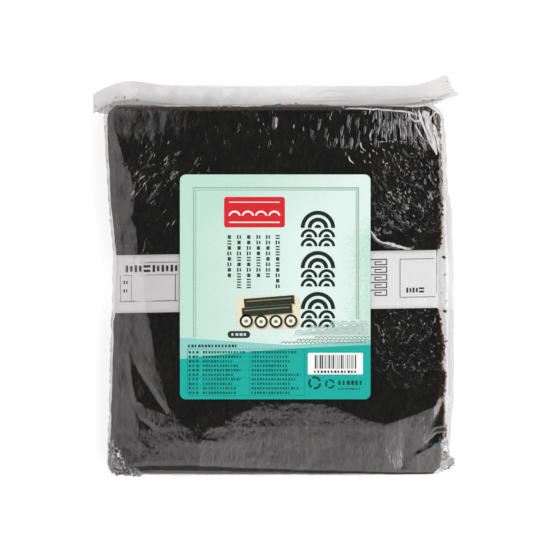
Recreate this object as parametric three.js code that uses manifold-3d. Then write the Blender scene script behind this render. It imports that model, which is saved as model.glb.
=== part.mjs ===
// A shop pack of dried nori: a stack of a hundred sheets in a heat-sealed clear bag, with a printed
// sticker on its face. The pack lies on its back with the sticker up.
//
// Millimetres, +Z up. +Y points at the end with the crimped seal, +X to the right of the sticker.
// The origin is under the middle of the whole outline, on the surface that the pack lies on.
//
// The bag is one closed solid, out to the film: a tube that is lofted along Y. Each section is a ring
// with an upper and a lower half of the same number of points, so a ring can close flat into a seal.
import * as THREE from "three";
import { mergeVertices } from "three/addons/utils/BufferGeometryUtils.js";
import Module from "manifold-3d";

// --- Driving dimensions ----------------------------------------------------------------------------

// The stack of sheets, each about 191 x 210 mm, and the film drawn over it.
const STACK_TOP_END = 97.3; // where the sheets end, at the crimped seal
const STACK_LOW_END = -112.2; // where they end at the folded end
const FACE_HEIGHT = 28; // the film's flat face above the surface

// The bag's sides, as [y, x] upwards. A paper band ties the stack, so its left side is drawn in there.
// On the right the film is loose, and stands further out below the band.
const LEFT_SIDE = [[-112, -94.5], [-73, -93.3], [-27, -92.2], [12, -90.7], [46, -93.8], [92, -96.4]];
const RIGHT_SIDE = [[-112, 97], [-95, 99.1], [-67, 101.3], [1, 101.3], [35, 100.3], [46, 98.6], [58, 97.5],
  [80, 96.9], [92, 95.2], [99, 94.8]];
const PLAN_CORNER = 9; // the outline's round corners
const SHOULDER_RADIUS = 4.5; // film over the sheets' upper edge
const BELLY_RADIUS = 3; // film under their lower edge

// How far the face falls towards its four edges, and where each fall starts.
const FALLS = {
  left: { from: -62, width: 34, depth: 3 },
  right: { from: 66, width: 34, depth: 1.6 },
  low: { from: -73, width: 38, depth: 5.5 },
  top: { from: 78, width: 20, depth: 1.8 },
};

// The crimped seal, a flat strip that is wider than the pack and bends at both ends.
const SEAL = { low: 98.6, high: 109.1, left: -103.6, right: 100.8, z: 12.5, thickness: 0.9 };
const SEAL_HUMP = { at: -82, width: 15, rise: 2.7 };
const SEAL_DROOP = { from: -84, width: 21, fall: 5.4, sink: 4 };
const SEAL_RISE = { from: 72, width: 28, rise: 7.2, lift: 4.5 };
const SEAL_WAVE = { length: 58, height: 0.9 };

// The folded end, where the film closes low down, and its wavy edge.
const FOLD = { y: -113.2, left: -92, right: 90, z: 7, thickness: 1.4 };
const FOLD_WAVE = { length: 52, height: 0.7 };

// The corners of spare film at the folded end, as outlines seen from above.
const EAR_THICKNESS = 1.2;
const RIGHT_EAR = {
  z: 9,
  tilt: -8,
  outline: [[88, -98], [97.5, -99.8], [103.6, -107.4], [102.6, -110.4], [93, -111.2], [86, -108]],
};
const LEFT_EARS = [
  { z: 7.5, tilt: 10, outline: [[-84, -98], [-94.5, -99], [-94.8, -107], [-90.4, -116.2], [-86, -113.3]] },
  { z: 5.2, tilt: -7, outline: [[-90, -106], [-87, -112.6], [-74.2, -115.3], [-70, -112.8], [-72, -105]] },
];

// The sticker.
const STICKER = { width: 108, length: 127.4, x: 0.4, y: -5.6, corner: 3.4, thickness: 0.35 };
const STICKER_GAP = 0.3;

// Segments of a ring's half, from the middle of the left side to the middle of the right side.
const SIDE_STEPS = 3;
const CORNER_STEPS = 4;
const FACE_STEPS = 20;
const BODY_STATIONS = 44;
const TURN_STATIONS = 6;
const SEAL_STATIONS = 5;

// --- Outline and face ------------------------------------------------------------------------------

const smooth = (t) => THREE.MathUtils.smoothstep(t, 0, 1);
const bell = (t) => Math.exp(-t * t);

// How much both sides draw in at y, for the round corners of the outline.
function cornerDraw(y) {
  const overTop = y - (STACK_TOP_END - PLAN_CORNER);
  const overLow = STACK_LOW_END + PLAN_CORNER - y;
  const over = Math.min(Math.max(overTop, overLow, 0), PLAN_CORNER);
  return 0.55 * (PLAN_CORNER - Math.sqrt(PLAN_CORNER ** 2 - over ** 2));
}

// The x of a side at y, straight between its given points.
function sideAt(side, y) {
  const next = side.findIndex(([at]) => at > y);
  if (next <= 0) return side.at(next)[1];
  const [[fromY, fromX], [toY, toX]] = [side[next - 1], side[next]];
  return THREE.MathUtils.mapLinear(y, fromY, toY, fromX, toX);
}

function leftSide(y) {
  return sideAt(LEFT_SIDE, y) + cornerDraw(y);
}

function rightSide(y) {
  return sideAt(RIGHT_SIDE, y) - cornerDraw(y);
}

// A fall starts softly and then keeps a steady slope.
function fallen(distance, fall) {
  const t = Math.max(distance / fall.width, 0);
  const soft = 0.2;
  return fall.depth * (t < soft ? t ** 2 / (2 * soft) : t - soft / 2);
}

function faceHeight(x, y) {
  const drop = fallen(FALLS.left.from - x, FALLS.left) + fallen(x - FALLS.right.from, FALLS.right)
    + fallen(FALLS.low.from - y, FALLS.low) + fallen(y - FALLS.top.from, FALLS.top);
  return FACE_HEIGHT - drop;
}

// --- Rings -----------------------------------------------------------------------------------------

// One half of a section over the stack, from the middle of the left side to the middle of the right
// side. height(x) is the half's far face, radius its corners, and middle the height of the sides.
function bodyHalf(y, height, radius, middle) {
  const left = leftSide(y);
  const right = rightSide(y);
  const half = [];
  const corner = (side, inner, quarter) => {
    const far = height(inner);
    const turn = Math.sign(far - middle) * radius;
    half.push([side + (inner - side) * (1 - Math.cos(quarter)), far - turn * (1 - Math.sin(quarter))]);
  };
  const shoulderLeft = height(left + radius) - Math.sign(height(left + radius) - middle) * radius;
  const shoulderRight = height(right - radius) - Math.sign(height(right - radius) - middle) * radius;
  for (let i = 0; i < SIDE_STEPS; i++)
    half.push([left, THREE.MathUtils.lerp(middle, shoulderLeft, i / SIDE_STEPS)]);
  for (let i = 0; i < CORNER_STEPS; i++)
    corner(left, left + radius, (i / CORNER_STEPS) * Math.PI / 2);
  for (let i = 0; i < FACE_STEPS; i++) {
    const x = THREE.MathUtils.lerp(left + radius, right - radius, i / FACE_STEPS);
    half.push([x, height(x)]);
  }
  for (let i = 0; i < CORNER_STEPS; i++)
    corner(right, right - radius, (1 - i / CORNER_STEPS) * Math.PI / 2);
  for (let i = 0; i <= SIDE_STEPS; i++)
    half.push([right, THREE.MathUtils.lerp(shoulderRight, middle, i / SIDE_STEPS)]);
  return half;
}

// Each point's share of the half's own length.
function shares(half) {
  const lengths = [0];
  for (let i = 1; i < half.length; i++)
    lengths.push(lengths[i - 1] + Math.hypot(half[i][0] - half[i - 1][0], half[i][1] - half[i - 1][1]));
  return lengths.map((length) => length / lengths.at(-1));
}

// A half laid flat between left and right at height z. The rim's two end points stay in the middle.
function flatHalf(half, { left, right, z, thickness }, side) {
  return shares(half).map((share, i) => {
    const rim = i === 0 || i === half.length - 1;
    return [THREE.MathUtils.lerp(left, right, share), z + (rim ? 0 : (side * thickness) / 2)];
  });
}

// A ring at y of [x, z] points: the upper half, then the lower one back without the two shared ends.
function ring(y, flat = null, share = 0) {
  const middle = 0.45 * faceHeight(0, y);
  const halves = [bodyHalf(y, (x) => faceHeight(x, y), SHOULDER_RADIUS, middle),
    bodyHalf(y, () => 0, BELLY_RADIUS, middle)];
  const [upper, lower] = halves.map((half, n) => {
    if (!flat) return half;
    const laid = flatHalf(half, flat, n === 0 ? 1 : -1);
    return half.map(([x, z], i) => [
      THREE.MathUtils.lerp(x, laid[i][0], share), THREE.MathUtils.lerp(z, laid[i][1], share)]);
  });
  return [...upper, ...lower.slice(1, -1).reverse()];
}

// The strip's middle line bends in its own plane: a hump and a droop on the left, a rise on the right.
function sealBend(x) {
  const hump = SEAL_HUMP.rise * bell((x - SEAL_HUMP.at) / SEAL_HUMP.width);
  const droop = SEAL_DROOP.fall * Math.max((SEAL_DROOP.from - x) / SEAL_DROOP.width, 0) ** 2;
  const rise = SEAL_RISE.rise * Math.max((x - SEAL_RISE.from) / SEAL_RISE.width, 0) ** 2;
  return hump - droop + rise;
}

// And it waves out of that plane, sinking at its left end and lifting at its right end.
function sealLift(x) {
  const wave = SEAL_WAVE.height * Math.sin((2 * Math.PI * x) / SEAL_WAVE.length);
  const sink = SEAL_DROOP.sink * Math.max((SEAL_DROOP.from - x) / SEAL_DROOP.width, 0) ** 2;
  const lift = SEAL_RISE.lift * Math.max((x - SEAL_RISE.from) / SEAL_RISE.width, 0) ** 2;
  return wave - sink + lift;
}

// A point of the strip at x, and across it at y, carried along the bent middle line. The right end
// turns with its rise. The left end is pushed over but keeps its upright cut.
function bentSeal(x, y, z, share) {
  const step = 0.5;
  const slope = x > 0 ? Math.atan2(sealBend(x + step) - sealBend(x - step), 2 * step) : 0;
  const across = y - (SEAL.low + SEAL.high) / 2;
  return new THREE.Vector3(
    x - share * Math.sin(slope) * across,
    y + share * (sealBend(x) - (1 - Math.cos(slope)) * across),
    z + share * sealLift(x));
}

function foldEdge(x) {
  return FOLD_WAVE.height * Math.cos((2 * Math.PI * (x + 46)) / FOLD_WAVE.length);
}

// Every ring of the bag in order, from the folded end to the crimped edge, as points in space.
function bagRings() {
  const rings = [];
  const over = (count, visit) => Array.from({ length: count }, (_, i) => visit((i + 0.5) / count));
  const foldRing = (turn) => {
    const share = 1 - Math.sin((turn * Math.PI) / 2);
    const y = THREE.MathUtils.lerp(FOLD.y, STACK_LOW_END + SHOULDER_RADIUS, 1 - Math.cos((turn * Math.PI) / 2));
    const points = ring(Math.max(y, STACK_LOW_END), FOLD, share);
    rings.push(points.map(([x, z]) => new THREE.Vector3(x, y - share * foldEdge(x), z)));
  };
  over(TURN_STATIONS, foldRing);
  for (let i = 0; i <= BODY_STATIONS; i++) {
    const from = STACK_LOW_END + SHOULDER_RADIUS;
    const y = THREE.MathUtils.lerp(from, STACK_TOP_END - SHOULDER_RADIUS / 2, i / BODY_STATIONS);
    rings.push(ring(y).map(([x, z]) => new THREE.Vector3(x, y, z)));
  }
  over(TURN_STATIONS, (turn) => {
    const share = smooth(turn);
    const y = THREE.MathUtils.lerp(STACK_TOP_END - SHOULDER_RADIUS / 2, SEAL.low, Math.sin((turn * Math.PI) / 2));
    const points = ring(Math.min(y, STACK_TOP_END), SEAL, share);
    rings.push(points.map(([x, z]) => bentSeal(x, y, z, share)));
  });
  for (let i = 0; i <= SEAL_STATIONS; i++) {
    const y = THREE.MathUtils.lerp(SEAL.low, SEAL.high, i / SEAL_STATIONS);
    rings.push(ring(STACK_TOP_END, SEAL, 1).map(([x, z]) => bentSeal(x, y, z, 1)));
  }
  return rings;
}

// --- Meshes ----------------------------------------------------------------------------------------

// Joins rings of equal length into one closed surface. The end rings close from their upper half
// straight across to their lower half.
function loft(rings) {
  const count = rings[0].length;
  const half = count / 2;
  const faces = [];
  const quad = (a, b, c, d) => faces.push(a, b, c, a, c, d);
  rings.slice(1).forEach((_, r) => {
    for (let i = 0; i < count; i++) {
      const next = (i + 1) % count;
      quad(r * count + i, r * count + next, (r + 1) * count + next, (r + 1) * count + i);
    }
  });
  const cap = (start, outward) => {
    for (let i = 0; i < half; i++) {
      const corners = [i, i + 1, (count - i - 1) % count, (count - i) % count].map((n) => start + n);
      quad(...(outward ? corners : corners.reverse()));
    }
  };
  cap(0, false);
  cap((rings.length - 1) * count, true);
  const geometry = new THREE.BufferGeometry().setFromPoints(rings.flat());
  geometry.setIndex(faces);
  return geometry;
}

// A flat piece of spare film, from its outline, turned a little about X so that it isn't level.
function ear({ z, tilt, outline }) {
  const shape = new THREE.Shape(outline.map(([x, y]) => new THREE.Vector2(x, y - outline[0][1])));
  return new THREE.ExtrudeGeometry(shape, { depth: EAR_THICKNESS, bevelEnabled: false })
    .rotateX(THREE.MathUtils.degToRad(tilt))
    .translate(0, outline[0][1], z);
}

function stickerGeometry() {
  const { width, length, corner, thickness } = STICKER;
  const shape = new THREE.Shape();
  const [x, y] = [width / 2, length / 2];
  shape.moveTo(-x + corner, -y);
  shape.absarc(x - corner, -y + corner, corner, -Math.PI / 2, 0);
  shape.absarc(x - corner, y - corner, corner, 0, Math.PI / 2);
  shape.absarc(-x + corner, y - corner, corner, Math.PI / 2, Math.PI);
  shape.absarc(-x + corner, -y + corner, corner, Math.PI, 1.5 * Math.PI);
  return new THREE.ExtrudeGeometry(shape, { depth: thickness, bevelEnabled: false, curveSegments: 8 });
}

const wasm = await Module();
wasm.setup();

function toSolid(geometry) {
  const bare = geometry.clone();
  bare.deleteAttribute("normal");
  bare.deleteAttribute("uv");
  const merged = mergeVertices(bare, 1e-3);
  return new wasm.Manifold(new wasm.Mesh({
    numProp: 3,
    vertProperties: merged.attributes.position.array,
    triVerts: new Uint32Array(merged.index.array),
  }));
}

function toGeometry(solid) {
  const mesh = solid.getMesh();
  const geometry = new THREE.BufferGeometry();
  geometry.setAttribute("position", new THREE.BufferAttribute(mesh.vertProperties, 3));
  geometry.setIndex(new THREE.BufferAttribute(mesh.triVerts, 1));
  geometry.computeVertexNormals();
  return geometry;
}

function bagGeometry() {
  const ears = [RIGHT_EAR, ...LEFT_EARS].map(ear);
  return toGeometry(ears.reduce((bag, flap) => bag.add(toSolid(flap)), toSolid(loft(bagRings()))));
}

function piece(name, geometry, color, roughness) {
  const material = new THREE.MeshStandardMaterial({ color, roughness, metalness: 0 });
  const mesh = new THREE.Mesh(geometry, material);
  mesh.name = name;
  return mesh;
}

// --- The pack --------------------------------------------------------------------------------------

const bag = piece("bag", bagGeometry(), 0x262423, 0.35);
const sticker = piece("sticker", stickerGeometry(), 0xc8e6dc, 0.55);
sticker.position.set(STICKER.x, STICKER.y, FACE_HEIGHT + STICKER_GAP);

const pack = new THREE.Group();
pack.add(bag, sticker);

export default pack;
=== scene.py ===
"""A shop pack of dried nori: a heat-sealed clear film bag that lies on its back, a stack of a hundred
sheets in it, tied by a paper band, and a printed sticker on its face.

The bag's outline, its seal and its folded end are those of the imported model. Sizes in this file are in
millimetres until they reach a mesh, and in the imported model's own frame: +X to the right of the sticker,
+Y towards the crimped seal, +Z up out of the face, with the pack lying on z = 0.
"""

import functools
import math
import random

import bpy
import numpy as np
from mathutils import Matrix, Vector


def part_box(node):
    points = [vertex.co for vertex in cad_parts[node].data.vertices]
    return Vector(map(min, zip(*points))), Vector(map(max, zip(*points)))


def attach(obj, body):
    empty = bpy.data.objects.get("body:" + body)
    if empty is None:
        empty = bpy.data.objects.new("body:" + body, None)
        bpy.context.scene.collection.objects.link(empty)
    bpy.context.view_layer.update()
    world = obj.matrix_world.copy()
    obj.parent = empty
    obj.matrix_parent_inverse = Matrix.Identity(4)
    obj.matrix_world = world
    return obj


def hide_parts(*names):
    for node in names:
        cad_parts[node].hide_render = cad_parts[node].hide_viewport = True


bl_info = {
    "name": "Nori pack",
    "version": (1, 0, 0),
    "blender": (4, 5, 0),
    "location": "View3D > Sidebar > Nori pack",
    "description": "Dresses a sealed pack of dried nori sheets in film, laver, paper and print",
    "category": "Object",
}

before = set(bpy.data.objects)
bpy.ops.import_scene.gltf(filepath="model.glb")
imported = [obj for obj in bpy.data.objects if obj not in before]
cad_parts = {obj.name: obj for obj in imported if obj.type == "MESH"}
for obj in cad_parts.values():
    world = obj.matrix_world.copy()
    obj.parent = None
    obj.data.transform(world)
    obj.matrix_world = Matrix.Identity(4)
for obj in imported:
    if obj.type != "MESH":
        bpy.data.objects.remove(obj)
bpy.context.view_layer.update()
BAG_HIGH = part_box("bag")[1]
STICKER_LOW, STICKER_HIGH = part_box("sticker")

MM = 0.001

# --- The bag's outline, as (y, x) along its sides, and what its ends close to ----------------------

BAG_LEFT = ((-112, -94.5), (-73, -93.3), (-27, -92.2), (12, -90.7), (46, -93.8), (92, -96.4), (99, -96.4))
BAG_RIGHT = ((-112, 97.0), (-95, 99.1), (-67, 101.3), (1, 101.3), (35, 100.3), (41, 99.7), (46, 98.6),
             (58, 97.5), (80, 96.9), (88, 95.6), (94, 95.0), (99, 94.8))
OUTLINE_LOW, OUTLINE_TOP = -112.2, 97.3
PLAN_CORNER = 9.0  # the outline's round corners
CORNER_SHARE = 0.55  # the sides draw in by this share of a full round
SHOULDER = 4.5  # film over the sheets' edge, at the sides
BELLY = 3.0  # film under their lower edge
MIDDLE = 12.0  # where the upper and the lower half of the web meet, at the sides
BODY_LOW, BODY_TOP = -112.4, 97.7  # its ends, before they close flat
TOP_ROUND = 6.0  # film over the sheets' edge at the seal
# And at the folded end, as (x, radius).
LOW_ROUND = ((-90, 6.5), (-70, 8.8), (-35, 7.5), (10, 4.6), (50, 3.2), (90, 2.6))
FACE_LOW, FACE_TOP = -113.0, 98.4  # where full rounds would end
UPRIGHT = 0.98  # a round of film ends at this share of its radius, before it stands upright
FOLD = {"y": -113.2, "left": -92.0, "right": 90.0, "z": 7.0, "gap": 1.2, "wave": 0.7, "wavelength": 52.0,
        "crest": -46.0}
SEAL = {"low": 98.6, "high": 109.1, "left": -103.6, "right": 100.8, "z": 12.5, "gap": 0.5}
SEAL_HUMP = {"at": -82.0, "width": 15.0, "rise": 2.7}
SEAL_DROOP = {"from": -84.0, "width": 21.0, "fall": 5.4, "sink": 4.0}
SEAL_RISE = {"from": 72.0, "width": 28.0, "rise": 7.2, "lift": 4.5}
SEAL_WAVE = {"length": 58.0, "height": 0.9}

# --- The face: it is flat round the sticker, and falls to the left and to the folded end -----------

# Where each fall starts, as (y, x) and as (x, y). The film is creased along these lines.
LEFT_CREASE = ((-112, -56), (-74.3, -59.3), (-61.8, -62.1), (-44.2, -66.6), (-20.4, -71.2), (13.6, -76.3),
               (26, -78), (34, -80.2), (44, -78), (54, -79.7), (65, -84.2), (79, -89.3), (88.5, -93.3))
LOW_CREASE = ((-59.3, -74.3), (-48.5, -85.1), (-43.4, -90.7), (-37.1, -85.6), (-28.6, -81.1), (-20.7, -77.1),
              (-8, -70.6), (25, -70.6), (37, -73.7), (48.5, -78.8), (62.7, -82.8), (74, -79.4), (84.8, -74.8),
              (91.6, -72))
LEFT_SLOPE = 0.125
LOW_SLOPE = 0.083
LOW_STEEPER = 0.004  # this share steeper for each mm to the right
# The straight crease below it, where the slope grows.
PANEL_FROM, PANEL_SLOPE, PANEL_SOFTNESS = -85.2, 0.06, 0.25
# Flat patches between two folds: corners, softness, level below the face in their middle, and slopes down
# along x and y.
PATCHES = (
    (((-83.6, -42.0), (-82.4, -58.5), (-79.6, -71.6), (-60.0, -76.9), (-71.0, -60.8)),
     1.2, 1.7, (-0.040, -0.010)),
    (((-81.4, -76.2), (-76.5, -79.5), (-62.5, -86.4), (-76.5, -86.6)), 1.6, 2.2, (-0.045, -0.010)),
    (((93.8, -69.0), (99.8, -69.0), (100.0, -88.5), (88.0, -92.0)), 3.0, 1.1, (0.030, -0.045)),
    (((91.0, -87.0), (99.0, -86.0), (89.2, -98.8), (78.6, -103.2), (84.2, -94.6)), 3.0, 3.2, (0.020, -0.045)),
)
CREASE_SOFTNESS = 0.9
SHEET_GAP = 0.75  # film over the top sheet
# At the upper left corner the film falls further: how steeply, where along x and how softly, where along y.
UPPER_LEFT = {"slope": 0.088, "x": -50, "softness": 18, "from_y": 70, "full_y": 86}


# --- Numbers --------------------------------------------------------------------------------------


def lerp(a, b, share):
    return a + (b - a) * share


def smooth(low, high, value):
    """0 up to low and 1 from high on, with a soft step between."""
    t = np.clip((value - low) / (high - low), 0, 1)
    return t * t * (3 - 2 * t)


def bell(value):
    return np.exp(-(value**2))


def above_zero(value, softness):
    """The value where it is positive and 0 elsewhere, with the kink rounded."""
    return 0.5 * (value + np.sqrt(value**2 + softness**2)) - 0.5 * softness


def along(pairs, value):
    """Reads a line given as (value, result) pairs, which run upwards."""
    return np.interp(value, [p[0] for p in pairs], [p[1] for p in pairs])


def round_off(radius, over, most=1.0):
    """How far a round edge has dropped, over past its start, and at most at that share of its radius."""
    over = np.clip(over, 0, radius * most)
    return radius - np.sqrt(radius**2 - over**2)


def turned(a, b, angle):
    """Two coordinates, turned against the clock."""
    c, s = math.cos(angle), math.sin(angle)
    return c * a - s * b, s * a + c * b


def lattice(ix, iy, seed):
    """A repeatable number from 0 to 1 for each point of a square lattice."""
    n = (ix.astype(np.uint64) * np.uint64(374761393) + iy.astype(np.uint64) * np.uint64(668265263)
         + np.uint64(seed) * np.uint64(2246822519))
    n = (n ^ (n >> np.uint64(13))) * np.uint64(1274126177)
    n = n ^ (n >> np.uint64(16))
    return (n & np.uint64(0xFFFFFF)).astype(float) / 0xFFFFFF


def noise(x, y, seed):
    """Smooth noise from -1 to 1 with features about one unit wide."""
    x, y = np.broadcast_arrays(np.asarray(x, float), np.asarray(y, float))
    ix, iy = np.floor(x).astype(np.int64), np.floor(y).astype(np.int64)
    fx, fy = x - ix, y - iy
    sx, sy = fx * fx * (3 - 2 * fx), fy * fy * (3 - 2 * fy)
    low = lerp(lattice(ix, iy, seed), lattice(ix + 1, iy, seed), sx)
    high = lerp(lattice(ix, iy + 1, seed), lattice(ix + 1, iy + 1, seed), sx)
    return 2 * lerp(low, high, sy) - 1


def ridged(x, y, seed):
    """Noise from 0 to 1 with sharp crests, as creased film has."""
    return 1 - np.abs(noise(x, y, seed))


def from_line(x, y, points):
    """The distance of each place from a line of points."""
    nearest = np.full(np.shape(x), np.inf)
    for (ax, ay), (bx, by) in zip(points, points[1:]):
        long_x, long_y = bx - ax, by - ay
        t = np.clip(((x - ax) * long_x + (y - ay) * long_y) / (long_x**2 + long_y**2), 0, 1)
        nearest = np.minimum(nearest, np.hypot(x - ax - t * long_x, y - ay - t * long_y))
    return nearest


def inside(x, y, corners, softness):
    """1 within a convex outline and 0 outside it, with a soft border."""
    middle = np.mean(corners, axis=0)
    share = np.ones(np.shape(x))
    for (ax, ay), (bx, by) in zip(corners, [*corners[1:], corners[0]]):
        length = math.hypot(bx - ax, by - ay)
        normal = (-(by - ay) / length, (bx - ax) / length)
        turn = np.sign((middle[0] - ax) * normal[0] + (middle[1] - ay) * normal[1])
        depth = turn * ((x - ax) * normal[0] + (y - ay) * normal[1])
        share = share * smooth(-softness / 2, softness / 2, depth)
    return share


# --- The bag's form -------------------------------------------------------------------------------


def corner_draw(y):
    """How far both sides draw in at y, for the outline's round corners."""
    over = np.maximum(y - (OUTLINE_TOP - PLAN_CORNER), OUTLINE_LOW + PLAN_CORNER - y)
    return CORNER_SHARE * round_off(PLAN_CORNER, over)


def bag_sides(y):
    draw = corner_draw(y)
    return along(BAG_LEFT, y) + draw, along(BAG_RIGHT, y) - draw


def face_drop(x, y):
    """How far the film lies below its flat face, with its creases and pressed patches."""
    left = LEFT_SLOPE * above_zero(along(LEFT_CREASE, y) - x, CREASE_SOFTNESS)
    low = LOW_SLOPE * above_zero(along(LOW_CREASE, x) - y, CREASE_SOFTNESS)
    low = (low + PANEL_SLOPE * above_zero(PANEL_FROM - y, PANEL_SOFTNESS)) * (1 + LOW_STEEPER * x)
    drop = np.hypot(left, low)
    for corners, softness, level, (slope_x, slope_y) in PATCHES:
        middle = np.mean(corners, axis=0)
        patch = level + slope_x * (x - middle[0]) + slope_y * (y - middle[1])
        drop = lerp(drop, patch, inside(x, y, corners, softness))
    outwards = above_zero(UPPER_LEFT["x"] - x, UPPER_LEFT["softness"])
    return drop + UPPER_LEFT["slope"] * outwards * smooth(UPPER_LEFT["from_y"], UPPER_LEFT["full_y"], y)


def end_drop(x, y):
    """The film's roundness over the stack's two ends, which varies a little along the folded one."""
    low_round = along(LOW_ROUND, x) + 0.6 * noise(x / 17, 0.5, 64)
    return (round_off(TOP_ROUND, TOP_ROUND - (FACE_TOP - y), UPRIGHT)
            + round_off(low_round, low_round - (y - FACE_LOW), UPRIGHT))


def face_height(x, y):
    """The film's height over its smooth form, without wrinkles."""
    return BAG_HIGH[2] / MM - face_drop(x, y) - end_drop(x, y)


def roof_height(x, y):
    """The film's height with its round shoulders, for what has to stay under it."""
    left, right = bag_sides(y)
    over = SHOULDER - np.minimum(x - left, right - x)
    return face_height(x, y) - round_off(SHOULDER, over, UPRIGHT)


def stack_height(x, y):
    return roof_height(x, y) - SHEET_GAP


# The fold right of the middle of the folded end: where it starts, is deepest and ends along x, and its depth.
SIDE_FOLD = {"from": 62.0, "deepest": 73.4, "to": 77.8, "depth": 0.66}
# Single folds that stand up from the face, as (points, width, height).
CREASES = (
    (((54, 26.4), (58, 21.6), (63, 18.6), (69, 17.6), (78, 17.3)), 0.9, 0.42),
    (((0.8, 90.2), (0.2, 85.4)), 0.9, 0.40),
)


def wrinkles(x, y):
    """The larger wrinkles, which stand up from the face. The film's material has the finer ones."""
    p, q = (x + y) / math.sqrt(2), (x - y) / math.sqrt(2)
    # Pleats fan out from the seal, deeper and longer on the right.
    on_right = smooth(30, 95, x)
    pleats = (0.06 * smooth(-50, -10, x) + 0.54 * on_right) * np.exp((y - 98.0) / lerp(12, 20, on_right))
    high = pleats * (1 + noise(x / 3.4 + 0.02 * y, y / 24, 11))
    # Crumpled patches on the right and on the left of the sticker.
    right_patch = 0.26 * bell(np.hypot((x - 76) / 24, (y - 48) / 30))
    high = high + right_patch * (ridged(p / 4.2, q / 12, 21) + 0.5 * ridged(p / 7.0 + q / 9, q / 8, 22))
    left_patch = 0.55 * bell(np.hypot((x + 68) / 17, (y - 47) / 28))
    high = high + left_patch * ridged(q / 6.0, p / 19, 31)
    for points, width, height in CREASES:
        high = high + height * bell(from_line(x, y, points) / width)
    # Slight waves all over.
    high = high + 0.16 * (1 + noise(x / 24, y / 31, 41)) + 0.10 * ridged(x / 6.5, y / 9.0, 42)
    into = np.clip((x - SIDE_FOLD["from"]) / (SIDE_FOLD["deepest"] - SIDE_FOLD["from"]), 0, 1)
    out_of = np.clip((SIDE_FOLD["to"] - x) / (SIDE_FOLD["to"] - SIDE_FOLD["deepest"]), 0, 1)
    dip = np.where(x < SIDE_FOLD["deepest"], into**2, out_of)
    high = high - SIDE_FOLD["depth"] * dip * smooth(-79, -97, y) * smooth(-112, -104, y)
    # Streaks that run down to the folded end.
    streaks = smooth(-62, -84, y) * smooth(-100, 20, x)
    high = high + streaks * (0.08 * noise(x / 3.1 + 0.02 * y, y / 26, 51) + 0.03 * noise(x / 1.7, y / 17, 53))
    # Broad creases in the two falls, and puckers along the left side.
    falls = np.maximum(smooth(-86, -94, y), smooth(-58, -74, x)) * smooth(84, 62, y)
    high = high + falls * (0.22 * ridged(x / 23, y / 19, 54) + 0.16 * ridged((x + y) / 16, (x - y) / 21, 55))
    return high + 0.20 * smooth(-70, -84, x) * (1 + noise(x / 13, y / 5.5, 52))


def past(end, x, way):
    """How far x lies past the start of an end of the seal, squared, in widths of that end."""
    return np.maximum(way * (x - end["from"]) / end["width"], 0) ** 2


def seal_bend(x):
    """The strip's middle line bends in its own plane."""
    hump = SEAL_HUMP["rise"] * bell((x - SEAL_HUMP["at"]) / SEAL_HUMP["width"])
    return hump - SEAL_DROOP["fall"] * past(SEAL_DROOP, x, -1) + SEAL_RISE["rise"] * past(SEAL_RISE, x, 1)


def seal_lift(x):
    """And it waves out of that plane."""
    wave = SEAL_WAVE["height"] * np.sin(2 * math.pi * x / SEAL_WAVE["length"])
    return wave - SEAL_DROOP["sink"] * past(SEAL_DROOP, x, -1) + SEAL_RISE["lift"] * past(SEAL_RISE, x, 1)


def bend_seal(x, y, z, share):
    """Carries a point of the flat strip along its bent middle line, by share."""
    slope = np.where(x > 0, np.arctan2(seal_bend(x + 0.5) - seal_bend(x - 0.5), 1.0), 0)
    across = y - (SEAL["low"] + SEAL["high"]) / 2
    bent_y = y + share * (seal_bend(x) - (1 - np.cos(slope)) * across)
    return x - share * np.sin(slope) * across, bent_y, z + share * seal_lift(x)


# --- Selection, meshes and modifiers --------------------------------------------------------------


def clear_selection():
    bpy.ops.object.select_all(action="DESELECT")


def select_only(*objects):
    clear_selection()
    for obj in objects:
        obj.select_set(True)
    bpy.context.view_layer.objects.active = objects[0]


def places(obj):
    """The vertices' places, as three arrays."""
    flat = np.empty(len(obj.data.vertices) * 3, np.float32)
    obj.data.vertices.foreach_get("co", flat)
    return flat.reshape(-1, 3).astype(float).T


def put(obj, x, y, z):
    """Moves the vertices to places given in millimetres."""
    obj.data.vertices.foreach_set("co", (np.column_stack((x, y, z)) * MM).astype(np.float32).ravel())
    obj.data.update()


def add_grid(name, columns, rows):
    """A flat grid to be shaped. Returns it with its vertices' shares along both edges, from 0 to 1."""
    clear_selection()
    bpy.ops.mesh.primitive_grid_add(x_subdivisions=columns, y_subdivisions=rows, size=1)
    obj = bpy.context.object
    obj.name = obj.data.name = name
    u, v, _ = places(obj)
    return obj, u + 0.5, v + 0.5


def apply_modifier(obj, kind, **settings):
    select_only(obj)
    modifier = obj.modifiers.new(kind.title(), kind)
    for key, value in settings.items():
        setattr(modifier, key, value)
    bpy.ops.object.modifier_apply(modifier=modifier.name)


def join(name, objects):
    select_only(*objects)
    if len(objects) > 1:
        bpy.ops.object.join()
    joined = bpy.context.view_layer.objects.active
    joined.name = joined.data.name = name
    return joined


def edit(obj, *steps):
    """Runs steps in edit mode on a whole piece, as (operator, its settings) pairs."""
    select_only(obj)
    bpy.ops.object.mode_set(mode="EDIT")
    bpy.ops.mesh.select_all(action="SELECT")
    for operator, settings in steps:
        operator(**settings)
    bpy.ops.object.mode_set(mode="OBJECT")


OUTWARDS = (bpy.ops.mesh.normals_make_consistent, {"inside": False})


def merging(distance):
    """The step that merges vertices which lie this close."""
    return bpy.ops.mesh.remove_doubles, {"threshold": distance * MM}


def mend(obj, merge_within=0.0005):
    """Merges doubled vertices, closes what is open and points the faces outwards."""
    edit(obj, merging(merge_within), (bpy.ops.mesh.fill_holes, {"sides": 0}), OUTWARDS)


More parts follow.
